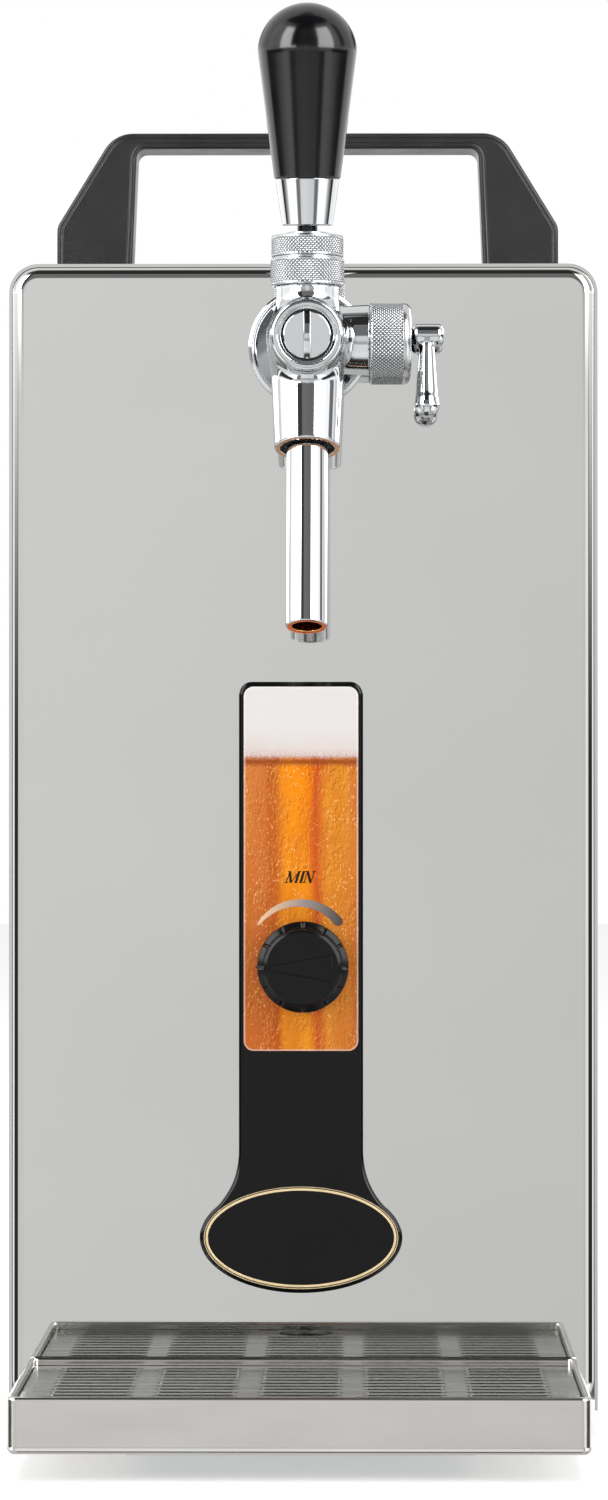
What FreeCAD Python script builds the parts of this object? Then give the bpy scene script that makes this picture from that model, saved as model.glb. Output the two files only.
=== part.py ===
import FreeCAD, Part
import math
import os
import re

import Sketcher
from FreeCAD import Placement, Rotation, Vector

# Counter-top beer dispenser. Millimetres, +Z up, the tap side faces -Y, +X is on the right seen from
# the front. The origin is the middle of the footprint, at the level that the feet stand on.

doc = FreeCAD.newDocument("BeerDispenser")

# ---------------------------------------------------------------------------------------------
# Driving dimensions
# ---------------------------------------------------------------------------------------------

DIMENSIONS = [
    # casing
    ("body_width", 180, "outside width of the cover"),
    ("body_depth", 300, "front face of the front panel to the back of the rear panel"),
    ("body_height", 350.5, "lower edge of the cover to its top"),
    ("foot_height", 8, "gap under the cover"),
    ("gauge", 1, "thickness of the casing sheet"),
    ("seam", 0.1, "play between sheets that lie on each other"),
    ("cover_radius", 9, "outside radius of the cover's two top folds"),
    ("panel_y", -106.75, "front face of the front panel"),
    ("panel_bend", 3.6, "outside radius of the front panel's folds"),
    ("panel_flange", 14, "depth of the folds of the front and rear panels"),
    ("floor_gauge", 1.2, "thickness of the base plate"),
    ("floor_flange", 14, "height of the base plate's side flanges"),
    ("foot_radius", 12, "rubber feet"),
    ("foot_span", 140, "feet, left to right"),
    ("foot_reach", 225, "feet, front to back"),
    ("vent_start", 172.4, "first air slot in the sides, behind the cover's front edge"),
    ("vent_base", 45, "lower end of the air slots above the cover's edge"),
    ("vent_length", 70, "one air slot"),
    ("vent_width", 4, "one air slot"),
    ("vent_pitch", 10, "air slots, front to back"),
    # carry handle
    ("grip_width", 166, "outside width of the carry handle"),
    ("grip_rise", 56.5, "height of the carry handle above the cover"),
    ("grip_depth", 20, "carry handle, front to back"),
    ("grip_shoulder", 25.5, "height of the upright part of the handle's legs"),
    ("grip_leg", 24.3, "width of a handle leg on the cover"),
    ("grip_bar", 5.2, "thickness of the handle's bar"),
    ("grip_screw", 1.9, "radius of the handle screws"),
    # tap
    ("tap_height", 332.5, "axis of the tap's barrel"),
    ("tap_offset", 1.7, "tap to the right of the casing's middle plane"),
    ("barrel_radius", 10.7, "tap barrel"),
    ("barrel_bore", 8.6, "bore that the piston and cone slide in"),
    ("barrel_front", 48, "front end of the barrel before the panel"),
    ("shank_radius", 7.9, "threaded shank through the panel"),
    ("shank_reach", 45, "length of the shank behind the panel"),
    ("lever_reach", 35.5, "lever axis before the panel"),
    ("lever_rise", 27.3, "lever's ball above the barrel axis"),
    ("lever_arm", 22, "ball to the lever's lower tip"),
    ("lever_lean", 5, "forward lean of the closed handle, degrees"),
    ("branch_reach", 15, "compensator axis before the panel"),
    ("branch_rise", 1, "compensator axis above the barrel axis"),
    ("branch_radius", 10.75, "compensator's branch"),
    ("branch_length", 18.7, "end of the branch beside the barrel axis"),
    ("spout_start", 28.5, "spout axis before the panel, at the height of the barrel axis"),
    ("spout_lean", 18, "forward lean of the spout, degrees"),
    ("spout_mouth", 35.1, "mouth of the tap body, along the spout axis"),
    ("spout_end", 91.5, "end of the spout, along its axis"),
    ("spout_radius", 6.25, "outside of the spout tube"),
    ("spout_tail", 6, "radius of the tube's end in the tap body"),
    ("spout_bore", 4.4, "inside of the spout tube"),
    ("mouth_radius", 8.1, "recess at the mouth of the tap body"),
    ("ferrule_start", 6.15, "lower end of the ferrule above the lever's ball"),
    ("knob_start", 20.2, "lower end of the handle knob above the lever's ball"),
    ("knob_radius", 14.85, "widest part of the handle knob"),
    ("knob_length", 52.2, "handle knob"),
    # label plate and thermostat
    ("label_offset", -0.6, "label plate beside the casing's middle plane"),
    ("label_width", 37.9, "straight part of the label plate"),
    ("label_top", 230.5, "top of the label plate above the table"),
    ("label_thick", 2, "label plate"),
    ("flare_start", 88, "where the label plate starts to widen"),
    ("oval_height", 61.1, "centre of the label plate's oval"),
    ("oval_half_width", 30.9, "oval"),
    ("oval_half_height", 16.9, "oval"),
    ("window_width", 34.9, "printed window"),
    ("window_top", 229, "printed window"),
    ("window_base", 118, "printed window"),
    ("dial_height", 143.6, "thermostat shaft above the table"),
    ("dial_radius", 14, "skirt of the thermostat knob"),
    ("dial_hole", 5.2, "hole for the thermostat's bush"),
    # drip tray
    ("tray_width", 167, "drip tray"),
    ("tray_depth", 108, "drip tray"),
    ("tray_height", 16.6, "drip tray"),
    ("tray_gap", 0.5, "play between tray and front panel"),
    ("rim_width", 2, "hemmed rim of the tray"),
    ("rim_height", 2.4, "rim above the grid"),
    ("slot_pitch", 30.4, "grid slots, left to right"),
    ("row_pitch", 8, "grid slots, front to back"),
    ("slot_length", 24.6, "one grid slot"),
    ("slot_width", 4, "one grid slot"),
    # rear
    ("fan_size", 120, "side of the square fan frame"),
    ("fan_thick", 25, "fan frame"),
    ("fan_height", 240, "fan axis above the table"),
    ("port_radius", 4.75, "bore of the beer inlet, for 9.5 mm hose"),
    ("gas_radius", 4, "bore of the air outlet, for 8 mm hose"),
    ("port_reach", 22, "fittings behind the rear panel"),
    # cooling
    ("block_width", 116, "cast cooling block"),
    ("block_depth", 64, "cast cooling block, front to back"),
    ("block_height", 156, "cast cooling block"),
    ("jacket_side", 18, "foam at the block's sides"),
    ("jacket_front", 14, "foam before and behind the block"),
    ("jacket_end", 10, "foam above and below the block"),
    ("mount_span", 108, "compressor mounts, left to right"),
    ("mount_reach", 84, "compressor mounts, front to back"),
    ("condenser_width", 124, "condenser"),
    ("condenser_height", 140, "condenser"),
]

sheet = doc.addObject("Spreadsheet::Sheet", "Dims")
for row, (alias, value, meaning) in enumerate(DIMENSIONS, start=1):
    sheet.set(f"A{row}", meaning)
    sheet.set(f"B{row}", str(value))
    sheet.setAlias(f"B{row}", alias)
doc.recompute()

ALIASES = {alias for alias, value, meaning in DIMENSIONS}

# Expressions that many pieces share
BACK_Y = "(panel_y + body_depth)"
TOP_Z = "(foot_height + body_height)"
FLOOR_Z = "(foot_height + gauge + 2 * seam + gauge - seam)"
PAN_HALF = "(body_width / 2 - gauge - seam)"
MIDDLE_Y = "(panel_y + body_depth / 2)"


# ---------------------------------------------------------------------------------------------
# Helpers: every size is an expression over the sheet's aliases
# ---------------------------------------------------------------------------------------------

def full(expression):
    """The expression with each alias written as the sheet's own cell."""
    def cell(word):
        name = word.group()
        return f"Dims.{name}" if name in ALIASES else name
    return re.sub(r"[A-Za-z_]\w*", cell, str(expression))


def number(expression):
    """The expression's value now."""
    return float(sheet.evalExpression(full(expression)))


def bind(thing, prop, expression):
    """Tie one property of an object to an expression."""
    thing.setExpression(prop, full(expression))


def place(thing, base, rotation=Rotation()):
    """Put an object at a point given by three expressions."""
    thing.Placement = Placement(Vector(*[number(part) for part in base]), rotation)
    for axis, part in zip("xyz", base):
        bind(thing, f"Placement.Base.{axis}", part)


FORWARD = Rotation(Vector(1, 0, 0), 90)     # local x right, y up, z forward
SIDEWAYS = Rotation(Vector(0, 1, 0), 90)    # local z to the right


def new_body(label, base=(0, 0, 0), rotation=Rotation()):
    """An empty PartDesign body with its label and placement."""
    body = doc.addObject("PartDesign::Body", label)
    body.Label = label
    place(body, base, rotation)
    return body


def origin_plane(body, role):
    for feature in body.Origin.OriginFeatures:
        if feature.Role == role:
            return feature
    raise ValueError(role)


def new_sketch(body, plane, offset=0):
    """A sketch on one of the body's origin planes, moved along its normal."""
    sketch = body.newObject("Sketcher::SketchObject", "Sketch")
    sketch.AttachmentSupport = [(origin_plane(body, plane), "")]
    sketch.MapMode = "FlatFace"
    sketch.AttachmentOffset = Placement(Vector(0, 0, number(offset)), Rotation())
    bind(sketch, "AttachmentOffset.Base.z", offset)
    return sketch


def fix_point(sketch, index, end, at):
    """Hold one end of a sketch line at two expressions."""
    for kind, expression in zip(("DistanceX", "DistanceY"), at):
        row = sketch.addConstraint(Sketcher.Constraint(kind, -1, 1, index, end, number(expression)))
        bind(sketch, f"Constraints[{row}]", expression)


def arc_between(start, end, radius):
    """An arc from start to end; a positive radius bulges to the left of the way, so it runs clockwise
    and is stored from end to start."""
    chord = end - start
    half = chord.Length / 2
    left = Vector(-chord.y, chord.x, 0).normalize()
    drop = math.sqrt(max(radius * radius - half * half, 0))
    centre = start + chord * 0.5 - left * math.copysign(drop, radius)
    low, high = (end, start) if radius > 0 else (start, end)
    angles = [math.atan2(point.y - centre.y, point.x - centre.x) for point in (low, high)]
    if angles[1] <= angles[0]:
        angles[1] += 2 * math.pi
    return Part.ArcOfCircle(Part.Circle(centre, Vector(0, 0, 1), abs(radius)), *angles)


def outline(sketch, points, arcs=()):
    """A closed outline through points; arcs gives (number of the side, radius) where it is round."""
    rounds = dict(arcs)
    spots = [Vector(number(x), number(y), 0) for x, y in points]
    first = sketch.GeometryCount
    count = len(spots)
    flipped = set()
    for side in range(count):
        start, end = spots[side], spots[(side + 1) % count]
        if side in rounds:
            radius = number(rounds[side])
            sketch.addGeometry(arc_between(start, end, radius), False)
            if radius > 0:
                flipped.add(side)
        else:
            sketch.addGeometry(Part.LineSegment(start, end), False)
    for side in range(count):
        head = 1 if side in flipped else 2
        after = (side + 1) % count
        tail = 2 if after in flipped else 1
        sketch.addConstraint(Sketcher.Constraint("Coincident", first + side, head, first + after, tail))
    for side, at in enumerate(points):
        fix_point(sketch, first + side, 2 if side in flipped else 1, at)
    for side, radius in rounds.items():
        fix_centre(sketch, first + side, points[side], points[(side + 1) % count], radius)


def fix_centre(sketch, index, start, end, radius):
    """Hold an arc's centre on the line between its ends' middle and the centre of that radius."""
    (x0, y0), (x1, y1) = start, end
    across, up = f"(({x1}) - ({x0}))", f"(({y1}) - ({y0}))"
    sign = math.copysign(1, number(radius))
    ratio = f"{sign} * sqrt(({radius})^2 / ({across}^2 + {up}^2) - 0.25)"
    if abs(number(up)) > abs(number(across)):
        kind, expression = "DistanceX", f"(({x0}) + ({x1})) / 2 + {up} * {ratio}"
    else:
        kind, expression = "DistanceY", f"(({y0}) + ({y1})) / 2 - {across} * {ratio}"
    row = sketch.addConstraint(Sketcher.Constraint(kind, -1, 1, index, 3, number(expression)))
    bind(sketch, f"Constraints[{row}]", expression)


def rectangle(sketch, x_low, x_high, y_low, y_high):
    outline(sketch, [(x_low, y_low), (x_high, y_low), (x_high, y_high), (x_low, y_high)])


def circle(sketch, x, y, radius):
    index = sketch.addGeometry(Part.Circle(Vector(number(x), number(y), 0), Vector(0, 0, 1), number(radius)))
    row = sketch.addConstraint(Sketcher.Constraint("Radius", index, number(radius)))
    bind(sketch, f"Constraints[{row}]", radius)
    fix_point(sketch, index, 3, (x, y))


def ellipse(sketch, x, y, half_width, half_height):
    centre = Vector(number(x), number(y), 0)
    index = sketch.addGeometry(Part.Ellipse(centre, number(half_width), number(half_height)))
    sketch.exposeInternalGeometry(index)
    fix_point(sketch, index, 3, (x, y))
    sketch.addConstraint(Sketcher.Constraint("Horizontal", index + 1))
    for line, size in ((index + 1, half_width), (index + 2, half_height)):
        row = sketch.addConstraint(Sketcher.Constraint("Distance", line, 2 * number(size)))
        bind(sketch, f"Constraints[{row}]", f"2 * {size}")


def extrude(body, kind, sketch, length, back=False, middle=False):
    """A Pad or a Pocket of a sketch; the volume must change."""
    before = body.Shape.Volume if body.Tip and not body.Shape.isNull() else 0
    feature = body.newObject(f"PartDesign::{kind}", kind)
    feature.Profile = sketch
    feature.Length = number(length)
    bind(feature, "Length", length)
    feature.Reversed = back
    if middle:
        feature.SideType = "Symmetric"
    doc.recompute()
    if abs(body.Shape.Volume - before) < 1e-6:
        raise ValueError(f"{body.Label}: {kind} changes nothing")
    return feature


def pad(body, sketch, length, back=False, middle=False):
    return extrude(body, "Pad", sketch, length, back, middle)


def pocket(body, sketch, length, back=False, middle=False):
    return extrude(body, "Pocket", sketch, length, back, middle)


def revolve(body, points, arcs=(), kind="Revolution"):
    """Turn an outline of (radius, height) about the body's own Z axis, added or cut."""
    sketch = new_sketch(body, "XZ_Plane")
    outline(sketch, points, arcs)
    before = body.Shape.Volume if body.Tip and not body.Shape.isNull() else 0
    feature = body.newObject(f"PartDesign::{kind}", kind)
    feature.Profile = sketch
    feature.ReferenceAxis = (sketch, ["V_Axis"])
    feature.Angle = 360
    doc.recompute()
    if abs(body.Shape.Volume - before) < 1e-6:
        raise ValueError(f"{body.Label}: {kind} changes nothing")
    return feature


def primitive(body, kind, at, rotation=Rotation(), **sizes):
    """An additive or subtractive primitive placed in the body's frame."""
    feature = body.newObject(f"PartDesign::{kind}", kind)
    feature.AttachmentSupport = [(origin_plane(body, "XY_Plane"), "")]
    feature.MapMode = "FlatFace"
    feature.AttachmentOffset = Placement(Vector(*[number(part) for part in at]), rotation)
    for axis, part in zip("xyz", at):
        bind(feature, f"AttachmentOffset.Base.{axis}", part)
    for prop, size in sizes.items():
        setattr(feature, prop, number(size))
        bind(feature, prop, size)
    doc.recompute()
    return feature


def edges_where(feature, test):
    """Names of the feature's edges whose middle point and direction pass a test."""
    names = []
    for index, edge in enumerate(feature.Shape.Edges, start=1):
        middle = edge.valueAt((edge.FirstParameter + edge.LastParameter) / 2)
        if test(edge, middle):
            names.append(f"Edge{index}")
    if not names:
        raise ValueError(f"{feature.Label}: no such edge")
    return names


def runs_along(edge, axis):
    """True for a straight edge along one of the axes."""
    if not isinstance(edge.Curve, Part.Line):
        return False
    return abs(edge.Curve.Direction.dot(axis)) > 0.999


X_WAY, Y_WAY, Z_WAY = Vector(1, 0, 0), Vector(0, 1, 0), Vector(0, 0, 1)


def dress(body, kind, size, test):
    """Fillet or chamfer the edges of the body's tip that pass a test."""
    tip = body.Tip
    feature = body.newObject(f"PartDesign::{kind}", kind)
    feature.Base = (tip, edges_where(tip, test))
    prop = "Radius" if kind == "Fillet" else "Size"
    setattr(feature, prop, number(size))
    bind(feature, prop, size)
    doc.recompute()
    return feature


def shell(body, thickness, test):
    """Hollow the body inwards, open at the faces whose centre passes a test."""
    tip = body.Tip
    faces = [f"Face{index}" for index, face in enumerate(tip.Shape.Faces, start=1) if test(face.CenterOfMass)]
    feature = body.newObject("PartDesign::Thickness", "Thickness")
    feature.Base = (tip, faces)
    feature.Value = number(thickness)
    bind(feature, "Value", thickness)
    feature.Reversed = True
    feature.Mode = 0
    feature.Join = 0
    doc.recompute()
    return feature


def repeat(body, originals, *steps):
    """Repeat features: each step is (plane sketch axis, count, span) or ("mirror", plane)."""
    multi = body.newObject("PartDesign::MultiTransform", "MultiTransform")
    parts = []
    for step in steps:
        if step[0] == "mirror":
            part = body.newObject("PartDesign::Mirrored", "Mirrored")
            part.MirrorPlane = (origin_plane(body, step[1]), [""])
        else:
            axis, count, span = step
            part = body.newObject("PartDesign::LinearPattern", "LinearPattern")
            part.Direction = (origin_plane(body, axis), [""])
            part.Occurrences = count
            part.Length = number(span)
            bind(part, "Length", span)
        parts.append(part)
    multi.Originals = originals
    multi.Transformations = parts
    body.Tip = multi
    doc.recompute()
    return multi


def turn_copies(body, originals, count):
    """A full-circle pattern about the body's Z axis."""
    pattern = body.newObject("PartDesign::PolarPattern", "PolarPattern")
    pattern.Originals = originals
    pattern.Axis = (origin_plane(body, "Z_Axis"), [""])
    pattern.Angle = 360
    pattern.Occurrences = count
    body.Tip = pattern
    doc.recompute()
    return pattern


# ---------------------------------------------------------------------------------------------
# Casing
# ---------------------------------------------------------------------------------------------

def make_outer_cover():
    body = new_body("outer_cover", (0, "panel_y + panel_bend", "foot_height"))
    sketch = new_sketch(body, "XZ_Plane")
    rectangle(sketch, "-body_width / 2", "body_width / 2", 0, "body_height")
    pad(body, sketch, "body_depth - panel_bend", back=True)
    top = number("body_height")
    dress(body, "Fillet", "cover_radius", lambda edge, at: runs_along(edge, Y_WAY) and at.z > top - 1)
    depth = number("body_depth - panel_bend")
    shell(body, "gauge", lambda at: at.y < 0.01 or at.y > depth - 0.01 or at.z < 0.01)
    holes = new_sketch(body, "XY_Plane", "body_height")
    for side in (-1, 1):
        for row in (-1, 1):
            circle(holes, f"{side} * (grip_width / 2 - grip_leg / 2)",
                   f"body_depth / 2 - panel_bend + {row} * grip_depth / 4", "grip_screw + 0.3")
    pocket(body, holes, "2 * gauge")
    vent = new_sketch(body, "YZ_Plane")
    low, high = "vent_base + vent_width / 2", "vent_base + vent_length - vent_width / 2"
    near, far = "vent_start - vent_width / 2", "vent_start + vent_width / 2"
    outline(vent, [(near, low), (far, low), (far, high), (near, high)],
            arcs=[(0, "-vent_width / 2"), (2, "-vent_width / 2")])
    cut = pocket(body, vent, "body_width + 2", middle=True)
    repeat(body, [cut], ("Y_Axis", 10, "9 * vent_pitch"))
    return body


def make_pan(label, face_y, back):
    """A folded pan that closes one end of the cover: a flat face with four flanges behind it."""
    body = new_body(label, (0, face_y, "foot_height"))
    sketch = new_sketch(body, "XZ_Plane")
    rectangle(sketch, f"-{PAN_HALF}", PAN_HALF, "gauge + seam", "body_height - gauge - seam")
    pad(body, sketch, "panel_flange", back=back)
    dress(body, "Fillet", "cover_radius - gauge", lambda edge, at: runs_along(edge, Y_WAY))
    if back:
        dress(body, "Fillet", "panel_bend", lambda edge, at: abs(at.y) < 0.01)
    depth = number("panel_flange") - 0.01
    shell(body, "gauge", lambda at: abs(at.y) > depth)
    return body


def make_front_panel():
    body = make_pan("front_panel", "panel_y", True)
    holes = new_sketch(body, "XZ_Plane")
    circle(holes, "tap_offset", "tap_height - foot_height", "shank_radius + 0.3")
    circle(holes, 0, "dial_height - foot_height", "dial_hole")
    pocket(body, holes, "2 * gauge", middle=True)
    return body


def make_rear_panel():
    body = make_pan("rear_panel", BACK_Y, False)
    holes = new_sketch(body, "XZ_Plane")
    circle(holes, 0, "fan_height - foot_height", "fan_size / 2 - 4")
    circle(holes, PORT_X, f"{BEER_Z} - foot_height", 7)
    circle(holes, PORT_X, f"{GAS_Z} - foot_height", 6)
    rectangle(holes, f"{INLET_X} - 14", f"{INLET_X} + 14", f"{INLET_Z} - foot_height - 10.5",
              f"{INLET_Z} - foot_height + 10.5")
    for x in SWITCH_X:
        rectangle(holes, f"{x} - 6.5", f"{x} + 6.5", f"{INLET_Z} - foot_height - 9.5",
                  f"{INLET_Z} - foot_height + 9.5")
    pocket(body, holes, "2 * gauge", middle=True)
    return body


# Rear connections, seen in the row's own X
PORT_X = 62
BEER_Z = 130
GAS_Z = 95
INLET_X = -55
INLET_Z = 55
SWITCH_X = (-5, 25)


def make_base_plate():
    body = new_body("base_plate", (0, MIDDLE_Y, FLOOR_Z))
    sketch = new_sketch(body, "XY_Plane")
    reach = "(body_depth / 2 - panel_flange - seam)"
    rectangle(sketch, f"-{PAN_HALF}", PAN_HALF, f"-{reach}", reach)
    pad(body, sketch, "floor_flange")
    depth = number(reach) - 0.01
    top = number("floor_flange") - 0.01
    shell(body, "floor_gauge", lambda at: abs(at.y) > depth or at.z > top)
    return body


def make_feet():
    body = new_body("feet", ("-foot_span / 2", f"{MIDDLE_Y} - foot_reach / 2", 0))
    foot = revolve(body, [(0, 0), ("foot_radius - 1.5", 0), ("foot_radius - 0.5", 1.2),
                          ("foot_radius", FLOOR_Z), (0, FLOOR_Z)])
    repeat(body, [foot], ("X_Axis", 2, "foot_span"), ("Y_Axis", 2, "foot_reach"))
    return body


def make_case_screws():
    """Pan-head screws that hold the rear panel to the cover's inner flanges."""
    margin = 30
    body = new_body("case_screws", ("-body_width / 2 + 8", BACK_Y, f"{TOP_Z} - {margin}"),
                    Rotation(Vector(1, 0, 0), -90))
    screw = revolve(body, [(0, 0), (3.4, 0), (3.4, 1.1), (2.2, 2.2), (0, 2.2)])
    repeat(body, [screw], ("X_Axis", 2, "body_width - 16"), ("Y_Axis", 2, f"body_height - 2 * {margin}"))
    return body


def make_carry_handle():
    body = new_body("carry_handle", (0, MIDDLE_Y, TOP_Z))
    sketch = new_sketch(body, "XZ_Plane")
    outer, inner = "grip_width / 2", "(grip_width / 2 - grip_leg)"
    under = "(grip_rise - grip_bar)"
    right = [(inner, 0), (outer, 0), (outer, "grip_shoulder"), (f"{outer} - 19", "grip_rise")]
    left = [(f"-({x})", z) for x, z in reversed(right)]
    outline(sketch, right + left + [(f"-({inner} - 2.2)", under), (f"{inner} - 2.2", under)])
    pad(body, sketch, "grip_depth", middle=True)
    rise, lid = number("grip_rise"), number(under)
    dress(body, "Fillet", 11, lambda edge, at: runs_along(edge, Y_WAY) and at.z > rise - 0.1)
    dress(body, "Fillet", 3, lambda edge, at: runs_along(edge, Y_WAY) and abs(at.z - lid) < 0.1)
    dress(body, "Fillet", 6, lambda edge, at: runs_along(edge, Y_WAY)
          and abs(at.z - number("grip_shoulder")) < 0.1)
    face = number("grip_depth") / 2 - 0.01
    dress(body, "Fillet", 1.4, lambda edge, at: abs(at.y) > face and at.z > 0.1)
    holes = new_sketch(body, "XY_Plane")
    for side in (-1, 1):
        for row in (-1, 1):
            circle(holes, f"{side} * (grip_width / 2 - grip_leg / 2)", f"{row} * grip_depth / 4",
                   "grip_screw")
    pocket(body, holes, 14, back=True)
    return body


def make_handle_screws():
    body = new_body("handle_screws", ("-(grip_width / 2 - grip_leg / 2)", f"{MIDDLE_Y} - grip_depth / 4",
                                      TOP_Z))
    screw = revolve(body, [(0, "-gauge - 2.6"), (3.6, "-gauge - 2.6"), (3.6, "-gauge"),
                           ("grip_screw", "-gauge"), ("grip_screw", 13), (0, 13)])
    repeat(body, [screw], ("X_Axis", 2, "grip_width - grip_leg"), ("Y_Axis", 2, "grip_depth / 2"))
    return body


# ---------------------------------------------------------------------------------------------
# Label plate and thermostat
# ---------------------------------------------------------------------------------------------

def make_label_plate():
    """A neck with a printed window that widens below into an oval."""
    body = new_body("label_plate", ("label_offset", "panel_y", 0), FORWARD)
    neck = new_sketch(body, "XY_Plane")
    half = "label_width / 2"
    meet_x, meet_y = "(0.825 * oval_half_width)", "(oval_height + 0.565 * oval_half_height)"
    outline(neck, [(f"-{half}", "label_top"), (f"-{half}", "flare_start"), (f"-{meet_x}", meet_y),
                   (meet_x, meet_y), (half, "flare_start"), (half, "label_top")],
            arcs=[(1, 25), (3, 25)])
    pad(body, neck, "label_thick")
    oval = new_sketch(body, "XY_Plane")
    ellipse(oval, 0, "oval_height", "oval_half_width", "oval_half_height")
    pad(body, oval, "label_thick")
    top = number("label_top") - 0.01
    dress(body, "Fillet", 4, lambda edge, at: runs_along(edge, Z_WAY) and at.y > top)
    recess = new_sketch(body, "XY_Plane", "label_thick")
    rectangle(recess, "-window_width / 2", "window_width / 2", "window_base", "window_top")
    pocket(body, recess, 0.5)
    floor = number("label_thick") - 0.5
    dress(body, "Fillet", 3, lambda edge, at: runs_along(edge, Z_WAY) and at.z > floor
          and abs(abs(at.x) - number("window_width") / 2) < 0.01)
    hole = new_sketch(body, "XY_Plane", "label_thick")
    circle(hole, "-label_offset", "dial_height", "dial_hole")
    pocket(body, hole, "label_thick")
    return body


def make_window_print():
    body = new_body("window_print", ("label_offset", "panel_y - label_thick + 0.5", 0), FORWARD)
    sketch = new_sketch(body, "XY_Plane")
    rectangle(sketch, "-window_width / 2", "window_width / 2", "window_base", "window_top")
    pad(body, sketch, 0.5)
    dress(body, "Fillet", 3, lambda edge, at: runs_along(edge, Z_WAY))
    hole = new_sketch(body, "XY_Plane", 0.5)
    circle(hole, "-label_offset", "dial_height", "dial_hole")
    pocket(body, hole, 0.5)
    return body


def make_thermostat():
    """Switch box behind the panel with a threaded bush through panel and label plate."""
    body = new_body("thermostat", (0, "panel_y", "dial_height"), FORWARD)
    case = new_sketch(body, "XY_Plane", "-gauge - 30")
    rectangle(case, -18, 18, -13, 13)
    pad(body, case, 30)
    primitive(body, "AdditiveCylinder", (0, 0, "-gauge"), Radius=5, Height="gauge + label_thick + 3")
    primitive(body, "SubtractiveCylinder", (0, 0, "-gauge - 8"), Radius=3.08, Height=20)
    return body


def make_thermostat_nut():
    body = new_body("thermostat_nut", (0, "panel_y - label_thick", "dial_height"), FORWARD)
    sketch = new_sketch(body, "XY_Plane")
    hexagon(sketch, 7)
    circle(sketch, 0, 0, 5)
    pad(body, sketch, 2.2)
    return body


def hexagon(sketch, flat):
    """A hexagon with its flats at the given distance from the middle."""
    corner = flat / math.cos(math.radians(30))
    corners = [(corner * math.cos(math.radians(60 * k)), corner * math.sin(math.radians(60 * k)))
               for k in range(6)]
    outline(sketch, corners)


def make_thermostat_shaft():
    body = new_body("thermostat_shaft", (0, "panel_y", "dial_height"), FORWARD)
    revolve(body, [(0, "-gauge - 7.5"), (3, "-gauge - 7.5"), (3, 14), (0, 14)])
    return body


def make_thermostat_knob():
    """Round knob: skirt, tapered grip, pointer on the skirt at the left and a raised wedge."""
    body = new_body("thermostat_knob", (0, "panel_y", "dial_height"), FORWARD)
    base = "(label_thick + 0.5)"
    revolve(body, [(9.5, base), ("dial_radius", base), ("dial_radius", f"{base} + 2"),
                   (11.8, f"{base} + 3"), (11.3, 16), (10.5, 16.8), (0, 16.8), (0, 14), (3, 14),
                   (3, 8), (9.5, 8)])
    pointer = new_sketch(body, "XY_Plane", base)
    outline(pointer, [(-14.8, 0), (-10.5, -3.4), (-10.5, 3.4)])
    pad(body, pointer, 4)
    wedge = new_sketch(body, "XY_Plane", 16.8)
    outline(wedge, [(-10.2, -0.7), (8.8, -4.2), (9.6, 0), (8.8, 4.2), (-10.2, 0.7)])
    pad(body, wedge, 0.8)
    return body


# ---------------------------------------------------------------------------------------------
# Tap. Barrel pieces: local x right, y up, z forward from the front panel
# ---------------------------------------------------------------------------------------------

BARREL = ("tap_offset", "panel_y", "tap_height")
LEVER = ("tap_offset", "panel_y - lever_reach", "tap_height")
PIVOT = ("tap_offset", "panel_y - lever_reach", "tap_height + lever_rise")
BRANCH = ("tap_offset", "panel_y - branch_reach", "tap_height + branch_rise")
SPOUT = ("tap_offset", "panel_y - spout_start", "tap_height")
SPOUT_SEAT = 12.8      # depth of the spout's seat behind the mouth
MOUTH_DEPTH = 2.5
NECK_TOP = 15.5
NUT_TOP = 24.2
COLLAR_TOP = 30.5


def make_rosette():
    body = new_body("rosette", BARREL, FORWARD)
    revolve(body, [("shank_radius + 0.1", 0), (18.3, 0), (18.3, 2.6), (16.9, 4), (15.8, 4), (13.6, 2.2),
                   (11.6, 3), ("shank_radius + 0.1", 3)], arcs=[(2, -1.4)])
    return body


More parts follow.
